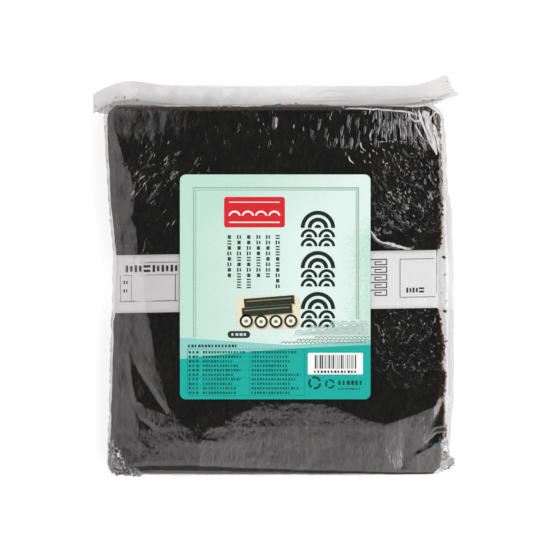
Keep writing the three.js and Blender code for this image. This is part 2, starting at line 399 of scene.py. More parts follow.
def finish(obj, name, material, replaces=None, smooth_angle=None):
    """Names a piece, gives it its material and smooth shading, hangs it on the root body, and hides the
    imported part that it replaces.
    """
    obj.name = obj.data.name = name
    obj.data.materials.clear()
    obj.data.materials.append(material)
    select_only(obj)
    if smooth_angle is None:
        bpy.ops.object.shade_smooth()
    else:
        bpy.ops.object.shade_smooth_by_angle(angle=math.radians(smooth_angle))
    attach(obj, "root")
    if replaces:
        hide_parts(replaces)
    return obj


# --- Materials ------------------------------------------------------------------------------------


def linear(hex_colour, alpha=1.0):
    """An sRGB colour such as "#c8e6dc", as the linear values that shaders take."""
    values = [int(hex_colour[i : i + 2], 16) / 255 for i in (1, 3, 5)]
    return (*[v / 12.92 if v <= 0.04045 else ((v + 0.055) / 1.055) ** 2.4 for v in values], alpha)


def add_node(tree, kind, *inputs, output=0, stops=(), **named):
    """Adds a node and returns one of its outputs. The inputs are its first sockets. Of the named values,
    those with a capital are sockets, such as Base_Color, and the others are its settings. A value that is
    a socket itself is linked. The stops are a colour ramp's, as (place, hex or linear colour)."""
    node = tree.nodes.new("ShaderNode" + kind)
    sockets = dict(enumerate(inputs))
    for name, value in named.items():
        if name[0].isupper():
            sockets[name.replace("_", " ")] = value
        else:
            setattr(node, name, value)
    for key, value in sockets.items():
        if isinstance(value, bpy.types.NodeSocket):
            tree.links.new(value, node.inputs[key])
        else:
            node.inputs[key].default_value = value
    if stops:
        elements = node.color_ramp.elements
        while len(elements) < len(stops):
            elements.new(0.5)
        for element, (place, colour) in zip(elements, stops):
            element.position = place
            element.color = linear(colour) if isinstance(colour, str) else (*colour, 1.0)
    return node.outputs[output] if node.outputs else None


def new_material(name):
    """An empty material, the function that adds a node to it, and its pieces' own coordinates."""
    material = bpy.data.materials.new(name)
    material.use_nodes = True
    material.node_tree.nodes.clear()
    add = functools.partial(add_node, material.node_tree)
    return material, add, add("TexCoord", output="Object")


def per_mm(feature):
    """The scale at which a pattern's features are this many millimetres wide."""
    return 1 / (feature * MM)


def across_pack(add, where, feature, detail, unevenness):
    """0 at the pack's left side and 1 at its right, made uneven by clouds. Returns it with the clouds."""
    across = add("Math", add("SeparateXYZ", where), 0.5 / BAG_HIGH[0], 0.5, operation="MULTIPLY_ADD")
    cloud = add("TexNoise", Vector=where, Scale=per_mm(feature), Detail=detail)
    uneven = add("Math", cloud, 0.5, operation="SUBTRACT")
    return add("Math", uneven, unevenness, across, operation="MULTIPLY_ADD"), cloud


def see_through(add, shader, normal, straight, most, tint, sharpness=5.0):
    """Film that shows what is behind it and throws back a part of the light: the share straight when
    looked at square on, and up to most above that at a slant."""
    facing = add("LayerWeight", Blend=0.5, Normal=normal, output="Facing")
    slant = add("Math", facing, sharpness, operation="POWER")
    share = add("Math", slant, most, straight, operation="MULTIPLY_ADD")
    add("OutputMaterial", add("MixShader", share, add("BsdfTransparent", Color=tint), shader))


def spot(add, where, x, y, reach_x, reach_y):
    """A soft-edged oval mask on the face: 1 in its middle half and 0 beyond its reach."""
    moved = add("Mapping", Vector=where, Location=(x * MM, y * MM, 0),
                Scale=(reach_x * MM, reach_y * MM, 1.0), vector_type="TEXTURE")
    flat = add("VectorMath", moved, (1, 1, 0), operation="MULTIPLY")
    far = add("VectorMath", flat, operation="LENGTH", output="Value")
    return add("MapRange", far, From_Min=1.0, From_Max=0.5, interpolation_type="SMOOTHSTEP")


ROUGH = -1.0  # in place of how far apart folds stand


def folds(add, where, feature, stretch=1.0, turn=0.0, apart=0.0, detail=1.0):
    """Sharp folds, as creased film has, long by stretch times in the direction turned from +Y. Their
    height runs up to about 0.3. With apart at 0 they meet, with more they stand apart on flat film, and
    ROUGH makes them a plain roughness."""
    lying = add("Mapping", Vector=where, Rotation=(0, 0, math.radians(turn)), Scale=(1.0, stretch, 1.0),
                vector_type="TEXTURE")
    value = add("TexNoise", Vector=lying, Scale=per_mm(feature), Detail=detail)
    if apart == ROUGH:
        return value
    if apart:
        return add("Math", add("Math", value, apart, operation="SUBTRACT"), 0.0, operation="MAXIMUM")
    return add("Math", add("Math", value, 0.5, operation="SUBTRACT"), operation="ABSOLUTE")


# The film's fine folds: mask (x, y, reach in x and y), feature, stretch, turn, how far apart, height. The
# first are single folds and pleats, the last its crumpled parts, where it is rough all over.
FILM_FOLDS = (
    ((84, 90, 36, 18), 2.2, 7.0, 2, 0.50, 2.5),
    ((84, 90, 34, 20), 4.4, 6.0, 4, 0.52, 1.9),
    ((46, 84, 34, 15), 2.4, 5.0, -4, 0.57, 1.5),
    ((0, 82, 60, 18), 2.2, 4.0, -3, 0.65, 0.8),
    ((72, 32, 28, 16), 3.0, 1.5, 60, 0.60, 1.5),
    ((-68, 52, 18, 34), 4.4, 3.2, -36, 0.54, 0.95),
    ((-48, 62, 22, 16), 3.2, 2.4, -42, 0.60, 0.8),
    ((75, -30, 28, 40), 4.6, 1.4, 12, 0.62, 0.8),
    ((-68, 12, 12, 18), 5.0, 3.0, -25, 0.56, 1.3),
    ((80, 54, 32, 34), 3.8, 1.6, 34, ROUGH, 0.74),
    ((78, 50, 34, 36), 1.4, 1.4, 30, ROUGH, 0.16),
    ((60, 30, 26, 26), 2.6, 1.6, 50, ROUGH, 0.20),
    ((-70, 62, 22, 28), 2.4, 1.5, -20, ROUGH, 0.22),
    ((-66, 48, 18, 30), 2.2, 2.4, -38, ROUGH, 0.20),
    ((20, -92, 130, 30), 1.2, 4.5, 2, ROUGH, 0.10),
    ((0, -92, 130, 34), 2.8, 1.0, 0, ROUGH, 0.10),
    ((-84, -10, 26, 110), 2.4, 1.8, 8, ROUGH, 0.05),
    ((76, -34, 30, 42), 3.4, 1.3, 20, ROUGH, 0.44),
    ((76, -30, 30, 38), 1.4, 1.2, 40, ROUGH, 0.12),
)


def film_relief(add, where):
    """The film's fine folds, as a height in millimetres: pleats below the seal, slanting folds on both
    sides of the sticker, crumpled parts, and a slight crackle all over."""
    height = add("Math", folds(add, where, 7.0, 1.3, 20, detail=2.0), 0.20, operation="MULTIPLY")
    for mask, feature, stretch, turn, apart, amount in FILM_FOLDS:
        part = add("Math", spot(add, where, *mask), amount, operation="MULTIPLY")
        fold = folds(add, where, feature, stretch, turn, apart)
        height = add("Math", fold, part, height, operation="MULTIPLY_ADD")
    return height


def clear_film():
    """Cast polypropylene film, 40 microns: bright and glass-clear, with a skin of fine folds. Both of
    its surfaces reflect, so that about 8% comes back from each pass, which is what veils the sheets."""
    material, add, where = new_material("cast polypropylene film")
    normal = add("Bump", Height=film_relief(add, where), Distance=MM)
    gloss = add("BsdfPrincipled", Base_Color=linear("#f9f5f5"), Metallic=1.0, Roughness=0.06, Normal=normal)
    # The web is drawn out along its length, so its gloss has fine streaks that way. Dust makes specks.
    lengthwise = add("Mapping", Vector=where, Scale=(1.0, 0.22, 1.0))
    drawn = add("TexNoise", Vector=lengthwise, Scale=per_mm(0.9), Detail=3.0, Roughness=0.6)
    dust = add("TexNoise", Vector=where, Scale=per_mm(1.3), Detail=1.0)
    dust = add("Math", add("Math", dust, 0.72, operation="SUBTRACT"), 0.0, operation="MAXIMUM")
    straight = add("Math", dust, 0.9, 0.032, operation="MULTIPLY_ADD")
    straight = add("Math", drawn, 0.10, straight, operation="MULTIPLY_ADD")
    see_through(add, gloss, normal, straight, 0.77, linear("#efefef"))
    return material


def crushed_film():
    """Film crushed into sharp facets, in several layers. The light and dark of its folds is painted light and
    shade in its see-through colour, and its gloss throws back more in painted glint patches. It is paler
    to the right."""
    material, add, where = new_material("crushed polypropylene film")
    normal = add("Bump", Height=folds(add, where, 3.4, detail=2.0), Distance=3.0 * MM)
    paler = add("MapRange", add("SeparateXYZ", where), From_Min=-0.02, From_Max=0.09, To_Max=0.12)
    # Painted light and shade: this noise darkens and pales the see-through colour, as if in creases.
    painted_crease_shade = add("TexNoise", Vector=where, Scale=per_mm(1.7), Detail=3.0, Roughness=0.65)
    aslant = add("Mapping", Vector=where, Rotation=(0, 0, math.radians(40)), Scale=(1.0, 0.6, 1.0))
    # Painted glints: this noise sets how much the gloss throws back, in patches.
    painted_glints = add("TexNoise", Vector=aslant, Scale=per_mm(1.3))
    glow = add("ValToRGB", add("Math", painted_glints, paler, operation="ADD"),
               stops=((0.38, "#5d5b5b"), (0.50, "#aaa8a8"), (0.62, "#ececec")))
    tint = add("ValToRGB", add("Math", painted_crease_shade, paler, operation="ADD"),
               stops=((0.38, "#575555"), (0.49, "#b4b2b2"), (0.62, "#efeeee")))
    gloss = add("BsdfPrincipled", Base_Color=glow, Metallic=1.0, Roughness=0.13, Normal=normal)
    see_through(add, gloss, normal, 0.42, 0.4, tint)
    return material


def milky_film(name, body_share, colours, ribbed=False):
    """Film that scatters light: in the seal two webs are melted together between ribbed jaws, and in the
    folds it lies double or crushed. On the white ridges its pale colour is a painted highlight along the
    fold.
    The colours run from the pack's left to its right."""
    material, add, where = new_material(name)
    across, cloud = across_pack(add, where, 9.0, 3.0, 0.7)
    if ribbed:
        # Broad bands about 6 mm apart, besides the fine ribs of the mesh.
        bands = add("TexWave", Vector=where, Scale=per_mm(20.0), Distortion=0.6, Detail=1.0,
                    Detail_Scale=2.0, wave_type="BANDS", bands_direction="Y", output="Fac")
        normal = add("Bump", Height=bands, Distance=0.07 * MM, Strength=0.9)
    else:
        normal = add("Bump", Height=folds(add, where, 2.6, detail=2.0), Distance=1.6 * MM)
    colour = add("ValToRGB", across, stops=list(zip(np.linspace(0.1, 0.9, len(colours)), colours)))
    body = add("BsdfPrincipled", Base_Color=colour, Roughness=0.25, IOR=1.49, Normal=normal)
    straight = add("Math", cloud, 0.10, body_share - 0.05, operation="MULTIPLY_ADD")
    see_through(add, body, normal, straight, 0.6, linear("#fafafa"), sharpness=3.0)
    return material


# The laver's colours, from the dark flecks to the pale ones.
LAVER = {
    "top": ((0.36, "#0b0b0b"), (0.50, "#141413"), (0.60, "#1d1c18"), (0.72, "#302b21")),
    "edge": ((0.34, "#100d0a"), (0.47, "#1c1611"), (0.57, "#31261d"), (0.70, "#57453a")),
    "green": ((0.34, "#232a14"), (0.47, "#48532a"), (0.57, "#6c7741"), (0.70, "#939a62")),
    "broken": ((0.34, "#21160e"), (0.45, "#4f3624"), (0.54, "#8a6746"), (0.64, "#cdb394")),
}


def dried_laver(name, tone, bump_depth):
    """Dried laver: chopped seaweed that is spread on a mat and dried, so it is near black, uneven and
    fibrous, with a weak sheen, and brown or green where it is thin."""
    material, add, where = new_material(name)
    spread = add("Mapping", Vector=where, Scale=(1.0, 0.55, 1.0))
    flecks = add("TexNoise", Vector=spread, Scale=per_mm(2.4), Detail=6.0, Roughness=0.62, Distortion=0.5)
    clouds = add("Math", add("TexNoise", Vector=where, Scale=per_mm(17.0)), 0.25, operation="MULTIPLY")
    tint = add("ValToRGB", add("Math", flecks, 0.75, clouds, operation="MULTIPLY_ADD"), stops=LAVER[tone])
    combed = add("Mapping", Vector=where, Rotation=(0, 0, math.radians(12)), Scale=(1.0, 0.35, 1.0))
    fibres = add("TexNoise", Vector=combed, Scale=per_mm(0.7), Detail=4.0, Roughness=0.7)
    fine = add("Bump", Height=fibres, Distance=0.22 * bump_depth * MM, Strength=0.7)
    normal = add("Bump", Height=flecks, Distance=0.5 * bump_depth * MM, Strength=0.7, Normal=fine)
    add("OutputMaterial", add("BsdfPrincipled", Base_Color=tint, Roughness=0.58, IOR=1.45,
                              Specular_IOR_Level=0.12, Normal=normal))
    return material


def band_paper():
    """Uncoated white paper, 80 g: matt, with a faint cloud of fibres. It is painted greyer to the left, as
    painted shade."""
    material, add, where = new_material("uncoated white paper")
    across, _ = across_pack(add, where, 14.0, 2.0, 0.3)
    # Painted shade: the paper's colour greys from right to left.
    tint = add("ValToRGB", across, stops=((0.1, "#d3d1d2"), (0.3, "#dad8d8"), (0.75, "#f4f3f3")))
    fibres = add("TexNoise", Vector=where, Scale=per_mm(0.5), Detail=4.0, Roughness=0.7)
    normal = add("Bump", Height=fibres, Distance=0.03 * MM, Strength=0.5)
    add("OutputMaterial", add("BsdfPrincipled", Base_Color=tint, Roughness=0.78, IOR=1.5,
                              Specular_IOR_Level=0.3, Normal=normal))
    return material


def sticker_paper(settings):
    """Semi-gloss label paper with a flat mint print that pales to the right."""
    material, add, where = new_material("semi-gloss label paper")
    x, y = (add("SeparateXYZ", where, output=axis) for axis in "XY")
    # From the left edge to the right one. The noise is 0.5 on average, which the low end makes up for.
    shade = add("MapRange", x, From_Min=STICKER_LOW[0], From_Max=STICKER_HIGH[0], To_Min=-0.26, To_Max=0.74,
                clamp=False)
    clouds = add("TexNoise", Vector=where, Scale=per_mm(24.0))
    specks = add("TexNoise", Vector=where, Scale=per_mm(1.6), Detail=4.0, Roughness=0.65)
    near_top = add("MapRange", y, From_Min=STICKER_HIGH[1] - 35 * MM, From_Max=STICKER_HIGH[1])
    for part, amount in ((clouds, 0.12), (specks, 0.4), (near_top, -0.34)):
        shade = add("Math", part, amount, shade, operation="MULTIPLY_ADD")
    mint, pale = settings.mint, settings.pale_mint
    tint = add("ValToRGB", shade, stops=((0.05, mint), (0.62, pale), (0.86, pale), (1.0, mint)))
    grain = add("TexNoise", Vector=where, Scale=per_mm(0.6), Detail=3.0)
    normal = add("Bump", Height=grain, Distance=0.012 * MM, Strength=0.5)
    add("OutputMaterial", add("BsdfPrincipled", Base_Color=tint, Roughness=0.5, IOR=1.5,
                              Specular_IOR_Level=0.35, Normal=normal))
    return material


def ink(name, hex_colour, other=None):
    """A flat printing ink, a little uneven where it soaked into the paper."""
    material, add, where = new_material(name)
    soak = add("TexNoise", Vector=where, Scale=per_mm(1.1), Detail=3.0)
    tint = add("ValToRGB", soak, stops=((0.25, hex_colour), (0.75, other or hex_colour)))
    add("OutputMaterial", add("BsdfPrincipled", Base_Color=tint, Roughness=0.5, IOR=1.5,
                              Specular_IOR_Level=0.15))
    return material


# --- Settings -------------------------------------------------------------------------------------


class NoriSheetSettings(bpy.types.PropertyGroup):
    count: bpy.props.IntProperty(
        name="Sheets", description="How many sheets the stack holds", default=100, min=10, max=140)
    raggedness: bpy.props.FloatProperty(
        name="Raggedness", description="How far a sheet's edge strays from straight, in millimetres",
        default=0.55, min=0.0, max=2.0)
    flakes: bpy.props.IntProperty(
        name="Rim flakes", description="Flakes that stand out along the stack's right edge", default=3200)
    crumbs: bpy.props.IntProperty(
        name="Loose crumbs", description="Crumbs that lie loose beside the stack", default=70)


class NoriStickerSettings(bpy.types.PropertyGroup):
    mint: bpy.props.FloatVectorProperty(
        name="Mint", description="The sticker's ground at its left edge", subtype="COLOR", size=3,
        default=linear("#adcabe")[:3], min=0.0, max=1.0)
    pale_mint: bpy.props.FloatVectorProperty(
        name="Pale mint", description="The sticker's ground right of its middle", subtype="COLOR", size=3,
        default=linear("#c9d8d3")[:3], min=0.0, max=1.0)
    print_height: bpy.props.FloatProperty(
        name="Print height", description="How far each layer of print stands above the one below it",
        default=0.03 * MM, min=0.0, unit="LENGTH", precision=5)


class NoriStageSettings(bpy.types.PropertyGroup):
    view_distance: bpy.props.FloatProperty(
        name="Camera distance", description="From the camera to the pack's face", default=2.0, unit="LENGTH")
    view_width: bpy.props.FloatProperty(
        name="Picture width", description="How much of the face's plane the picture spans",
        default=0.31185, unit="LENGTH")
    brightness: bpy.props.FloatProperty(
        name="Studio light", description="Radiance of the light tent", default=0.98, min=0.0)


# --- Pieces of the bag ----------------------------------------------------------------------------

WEB_COLUMNS, BACK_COLUMNS, WEB_ROWS = 250, 50, 270
FOLD_PART, SEAL_PART = 0.035, 0.045  # shares of the rows in which the two ends close
WALL_PART, SHOULDER_PART = 0.05, 0.085  # shares of the columns up to the wall's top and over the shoulder
JOINED_PART = 0.02  # share of the columns in which the webs part at the closed ends


def section(u, y, upper):
    """A place on the bag's section at y: u runs from the middle of the left wall to that of the right."""
    left, right = bag_sides(y)
    radius = SHOULDER if upper else BELLY
    near, on_left = np.minimum(u, 1 - u), u < 0.5
    edge, inwards = np.where(on_left, left, right), np.where(on_left, 1.0, -1.0)
    level = face_height(edge + inwards * radius, y) if upper else np.zeros_like(u)
    spring = level - radius if upper else level + radius
    angle = np.clip((near - WALL_PART) / (SHOULDER_PART - WALL_PART), 0, 1) * math.pi / 2
    face_x = lerp(left + radius, right - radius, np.clip((u - SHOULDER_PART) / (1 - 2 * SHOULDER_PART), 0, 1))
    face_z = face_height(face_x, y) if upper else np.zeros_like(u)
    # The wall, then the round shoulder, then the face.
    parts = [near < WALL_PART, near < SHOULDER_PART]
    x = np.select(parts, [edge, edge + inwards * radius * (1 - np.cos(angle))], face_x)
    wall_z = lerp(MIDDLE, spring, near / WALL_PART)
    z = np.select(parts, [wall_z, spring + (level - spring) * np.sin(angle)], face_z)
    # Wrinkles stand up from the face, and out from the walls.
    on_face = smooth(WALL_PART, SHOULDER_PART, near)
    out = 0.35 * (1 + noise(y / 5.5, z / 7.0, 61)) + 0.30 * ridged(y / 3.1 + z / 9, z / 6.0, 62)
    out = out + np.where(on_left, 0.65, 0.25) * ridged(y / 1.9, z / 5.0, 65) ** 3
    x = x - inwards * out * (1 - on_face) * smooth(0, 4, z)
    if upper:
        z = z + wrinkles(x, y) * on_face
    return x, z


def film_web(u, v, upper):
    """The film as a web that is drawn over the stack: u runs round it and v along it."""
    y = lerp(BODY_LOW, BODY_TOP, np.clip((v - FOLD_PART) / (1 - FOLD_PART - SEAL_PART), 0, 1))
    x, z = section(u, y, upper)
    side = (1 if upper else -1) * np.clip(np.minimum(u, 1 - u) / JOINED_PART, 0, 1) / 2
    folded = smooth(0, 1, 1 - v / FOLD_PART)
    sealed = smooth(0, 1, 1 - (1 - v) / SEAL_PART)
    wave = FOLD["wave"] * np.cos(2 * math.pi * (x - FOLD["crest"]) / FOLD["wavelength"])
    y = y + folded * (FOLD["y"] - BODY_LOW - wave) + sealed * (SEAL["low"] - BODY_TOP)
    for end, closed in ((FOLD, folded), (SEAL, sealed)):
        x = lerp(x, lerp(end["left"], end["right"], u), closed)
        z = lerp(z, end["z"] + side * end["gap"], closed)
    return bend_seal(x, y, z, sealed)


class NORI_OT_film(bpy.types.Operator):
    """Wrap the clear film: a web over the stack and one under it, joined at the sides and closed flat
    at both ends"""

    bl_idname = "nori.film"
    bl_label = "Film bag"

    def execute(self, context):
        webs = []
        for upper, columns in ((True, WEB_COLUMNS), (False, BACK_COLUMNS)):
            web, u, v = add_grid("web", columns, WEB_ROWS)
            put(web, *film_web(u, v, upper))
            webs.append(web)
        bag = join("film_bag", webs)
        mend(bag)
        finish(bag, "film_bag", clear_film(), replaces="bag")
        return {"FINISHED"}


SEAL_COLUMNS, SEAL_ROWS = 440, 36
SEAL_OVERLAP = 0.6  # with the bag's film below it
TOOTH, TOOTH_DEPTH = 2.6, 0.55  # of the cut edge
RIB, RIB_HEIGHT = 1.15, 0.06  # of the crimp
SEALED_THICKNESS = 0.3


class NORI_OT_seal(bpy.types.Operator):
    """Press the crimped seal: a ribbed strip with a zigzag cut edge, bent at both ends"""

    bl_idname = "nori.seal"
    bl_label = "Crimped seal"

    def execute(self, context):
        strip, u, v = add_grid("strip", SEAL_COLUMNS, SEAL_ROWS)
        x = lerp(SEAL["left"], SEAL["right"], u)
        # Its right end is torn.
        torn = 0.9 * noise(v * 7, 2.0, 74) + 0.6 * noise(v * 17, 3.0, 75)
        x = x + (torn - 0.8) * smooth(SEAL["right"] - 5, SEAL["right"], x)
        tooth = np.abs(((x / TOOTH) % 1) * 2 - 1) - 0.5
        # Where it bends up, it is wider, so that it still reaches the film below it.
        widened = SEAL_OVERLAP + np.maximum(seal_bend(x), 0) * np.where(x < 0, 1.0, 0.4)
        y = lerp(SEAL["low"] - widened, SEAL["high"], v) + TOOTH_DEPTH * tooth * smooth(0.86, 1.0, v)
        ribs = RIB_HEIGHT * np.sin(2 * math.pi * y / RIB)
        puckers = 0.22 * noise(x / 6, y / 5, 71) + 0.35 * smooth(-60, -100, x) * noise(x / 4, y / 4, 72)
        puckers = puckers + 0.3 * smooth(60, 100, x) * noise(x / 5, y / 5, 73)
        put(strip, *bend_seal(x, y, SEAL["z"] + ribs + puckers, 1.0))
        apply_modifier(strip, "SOLIDIFY", thickness=SEALED_THICKNESS * MM, offset=0.0)
        # Its middle colour is painted paler, painted light that makes up for the shadow that darkens the
        # strip's middle.
        film = milky_film("heat-sealed polypropylene film", 0.66, ("#d1cfcf", "#f0eeee", "#dddbdb"), True)
        finish(strip, "crimped_seal", film, replaces="bag")
        return {"FINISHED"}


# Spare film at the corners of the folded end: middle, half sizes, turn in degrees, seed, and where it lies:
# at this height, or draped over the corner if that is None.
CORNER_FOLDS = (
    ((-90.2, -104.6), (4.6, 7.6), 8, 81, None),
    ((-83.6, -110.4), (8.6, 3.0), -8, 82, None),
    ((-88.6, -107.6), (6.2, 6.0), 24, 83, 8.0),
    ((-92.4, -98.0), (2.0, 6.0), 4, 86, None),
    ((96.2, -104.6), (6.4, 5.6), -38, 84, 9.2),
    ((97.2, -99.0), (2.4, 8.0), 8, 87, None),
    ((-96.0, 96.6), (6.0, 3.2), 4, 88, 10.0),
)


# Film that is folded double and stands up as a ridge, painted white as a highlight along the fold: path, half
# # widths at both ends, and its height as a share of them. The first lie on the face, the next on the seal,
# # and the last bunch up at the right corner.
FACE_RIDGES = (
    (((40.0, 95.6), (48.0, 95.3), (60.0, 94.9), (73.0, 94.0), (82.0, 91.6)), 0.42, 0.42, 0.6),
    (((54.4, 26.0), (57.5, 22.0), (61.0, 19.6), (64.5, 18.6)), 0.40, 0.50, 0.6),
    (((62.5, 19.6), (66.5, 18.8), (71.0, 17.2), (77.5, 15.7)), 1.00, 0.45, 0.4),
    (((48.3, 76.2), (49.4, 73.4), (51.6, 71.2)), 0.36, 0.26, 0.6),
    (((41.8, 68.4), (43.0, 66.2), (45.2, 64.6)), 0.34, 0.28, 0.6),
    (((1.2, 90.6), (0.6, 88.0), (0.9, 84.6)), 0.50, 0.36, 0.6),
)
SEAL_RIDGES = (
    (((24.0, 105.2), (33.0, 106.4), (43.0, 106.6)), 0.30, 0.25, 0.6),
    (((27.0, 102.6), (36.0, 103.0), (46.0, 103.3)), 0.34, 0.25, 0.6),
    (((21.0, 100.4), (30.0, 101.0), (42.0, 101.0)), 0.25, 0.25, 0.6),
    (((-30.0, 100.2), (-26.0, 102.8), (-24.5, 106.0)), 0.25, 0.20, 0.6),
    (((62.0, 100.8), (72.0, 101.9), (84.0, 103.0)), 0.25, 0.30, 0.6),
    (((84.0, 100.2), (90.0, 101.8), (97.0, 102.2)), 0.30, 0.40, 0.6),
)
CORNER_RIDGES = (
    (((85.0, 94.4), (86.3, 89.5), (88.7, 81.1), (92.0, 69.2)), 2.3, 0.8, 0.30),
    (((81.5, 94.2), (83.2, 89.0), (86.2, 81.0), (89.6, 72.5)), 0.9, 0.4, 0.40),
    (((90.2, 86.4), (92.4, 78.8), (93.4, 71.0)), 1.2, 0.6, 0.35),
    (((76.0, 93.9), (76.8, 90.6), (79.2, 88.0), (82.2, 88.6), (83.4, 91.4)), 0.75, 0.5, 0.5),
    (((87.8, 87.6), (88.4, 91.0), (90.9, 93.5), (94.0, 93.4)), 0.5, 0.4, 0.6),
    (((79.4, 86.6), (81.6, 82.6), (84.8, 77.4)), 0.5, 0.3, 0.5),
)


GLINT_WIDTH = (0.12, 0.27)
# Areas of short white ridges, painted glints: how many, x and y ranges, direction, its spread, and length.
GLINTS = (
    (52, (54, 92), (79, 95), 90, 5, (1.5, 6.0)),
    (30, (58, 92), (76.0, 78.0), 100, 60, (0.6, 1.3)),
    (10, (-22, 50), (68, 90), 90, 10, (0.8, 2.4)),
    (46, (60, 92), (34, 74), 124, 22, (0.5, 1.8)),
    (14, (62, 76), (45.5, 48.5), 120, 50, (0.6, 1.6)),
    (10, (48, 60), (60, 76), 118, 22, (1.0, 2.5)),
    (14, (-84, -54), (26, 78), 52, 16, (1.6, 4.2)),
    (8, (62, 92), (-60, 0), 100, 50, (0.6, 1.2)),
)


class NORI_OT_ridges(bpy.types.Operator):
    """Pinch the film into ridges, painted white as highlights: on the face, along the seal and bunched at the
    right corner
    """

    bl_idname = "nori.ridges"
    bl_label = "Film ridges"

    def execute(self, context):
        for name, ridges, ground, body_share in (
                ("face_ridges", FACE_RIDGES, self.on_face, 0.50),
                ("seal_ridges", SEAL_RIDGES, self.on_seal, 0.55),
                ("corner_ridges", CORNER_RIDGES, self.on_face, 0.48)):
            pieces = [self.ridge(number, ridge, ground) for number, ridge in enumerate(ridges)]
            # Their white body colour is a painted highlight along each fold.
            film = milky_film(f"film folded double, painted white, {name.split('_')[0]}", body_share, ("#eceaeb", "#f8f6f7"))
            finish(join(name, pieces), name, film, replaces="bag")
        draw, pieces = random.Random(57), []
        for count, x_range, y_range, direction, spread, lengths in GLINTS:
            for _ in range(count):
                x, y, long = (draw.uniform(*limits) for limits in (x_range, y_range, lengths))
                way = math.radians(direction + draw.gauss(0, spread))
                step_x, step_y = long / 2 * math.cos(way), long / 2 * math.sin(way)
                width = draw.uniform(*GLINT_WIDTH)
                points = ((x - step_x, y - step_y), (x + draw.gauss(0, 0.1), y), (x + step_x, y + step_y))
                glint = (points, width, 0.6 * width, 0.6)
                pieces.append(self.ridge(len(pieces), glint, self.on_face, columns=6, rows=6))
        # Painted glints: short white ridges that stand for highlights.
        film = milky_film("film folded double, painted white, glints", 0.44, ("#dddbdc", "#f8f6f7"))
        finish(join("painted_glints", pieces), "painted_glints", film, replaces="bag")
        return {"FINISHED"}

    def on_face(self, x, y):
        return face_height(x, y) + wrinkles(x, y)

    def on_seal(self, x, y):
        return SEAL["z"] + 0.35 + seal_lift(x)

    def ridge(self, number, ridge, ground, columns=18, rows=48):
        """A fold along its path, with the ground's height under it. The number varies its wobble."""
        points, first_width, last_width, rise = ridge
        fold, u, v = add_grid("ridge", columns, rows)
        steps = np.concatenate(([0], np.cumsum(np.hypot(*np.diff(points, axis=0).T))))
        at = v * steps[-1]

        def path(place):
            return np.array([np.interp(place, steps, line) for line in zip(*points)])

        middle_x, middle_y = path(at)
        way_x, way_y = path(np.minimum(at + 0.5, steps[-1])) - path(np.maximum(at - 0.5, 0))
        long = np.hypot(way_x, way_y)
        width = lerp(first_width, last_width, v) * (1 + 0.3 * noise(at / 1.7, 0.0, 110 + number))
        width = width * np.sqrt(np.clip(np.sin(math.pi * np.clip(v, 0.01, 0.99)) * 2.5, 0, 1))
        turn = 2 * math.pi * u
        side = width * np.cos(turn) + 0.3 * noise(at / 3.1, 5.0, 130 + number)
        x, y = middle_x - side * way_y / long, middle_y + side * way_x / long
        crumple = 1.5 * rise * width * (1 + np.sin(turn)) * noise(x / 1.8, y / 3.4, 150 + number)
        put(fold, x, y, ground(x, y) + rise * width * (0.2 + np.sin(turn)) + crumple)
        mend(fold)
        return fold


DRAPE_FROM, DRAPE_SLOPE = 0.8, 2.2  # it leaves the bag this far inside its outline, and falls this steeply
SPARE_STEPS = 44  # of a corner fold's grid, both ways
SPARE_THICKNESS = 0.12


def draped(x, y):
    """The height of film that is drawn over the bag and down outside it."""
    left, right = bag_sides(y)
    beside = np.maximum(np.maximum(left - x, x - right), 0)
    beyond = np.maximum(np.maximum(BODY_LOW - y, y - BODY_TOP), 0)
    inner_x = np.clip(x, left + DRAPE_FROM, right - DRAPE_FROM)
    inner_y = np.clip(y, BODY_LOW + DRAPE_FROM, BODY_TOP - DRAPE_FROM)
    return roof_height(inner_x, inner_y) - DRAPE_SLOPE * (beside + beyond)


class NORI_OT_corner_folds(bpy.types.Operator):
    """Crumple the spare film at the two corners of the folded end, and the tab under the seal"""

    bl_idname = "nori.corner_folds"
    bl_label = "Corner folds"

    def execute(self, context):
        pieces = []
        for (middle_x, middle_y), (half_x, half_y), turn, seed, height in CORNER_FOLDS:
            fold, u, v = add_grid("fold", SPARE_STEPS, SPARE_STEPS)
            s, t = 2 * u - 1, 2 * v - 1
            ragged = 1 + 0.16 * noise(3 * s, 3 * t, seed) + 0.13 * noise(7 * s, 7 * t, seed + 9)
            x, y = half_x * s * ragged * (1 - 0.25 * t**2), half_y * t * ragged * (1 - 0.25 * s**2)
            crumple = 3.4 * ridged(x / 4.2, y / 4.8, seed) + 1.2 * ridged(x / 2.0 + y / 3, y / 2.2, seed + 40)
            x, y = turned(x, y, math.radians(turn))
            x, y = middle_x + x, middle_y + y
            if height is None:
                z = draped(x, y) - 1.0 + 0.5 * crumple
            else:
                z = height - 2.4 + 0.9 * crumple
            put(fold, x, y, z)
            apply_modifier(fold, "SOLIDIFY", thickness=SPARE_THICKNESS * MM, offset=0.0)
            pieces.append(fold)
        finish(join("corner_folds", pieces[:-1]), "corner_folds", crushed_film(), replaces="bag")
        film = milky_film("crushed film under the seal", 0.40, ("#cdcbcc", "#dedcdd"))
        finish(pieces[-1], "seal_tab", film, replaces="bag")
        return {"FINISHED"}


# --- The stack ------------------------------------------------------------------------------------

BAND_WIDTH = 32.8
BAND_MIDDLE = -2.6
BAND_TILT = math.radians(0.95)
BAND_THICKNESS = 0.12
BAND_COLUMNS, BAND_ROWS = 260, 12
BAND_GAP = 0.22  # over the top sheet
BAND_ROUND = 2.2  # over the sheets' edge
BAND_SIDE, BAND_FACE = 0.10, 0.40  # shares of its loop

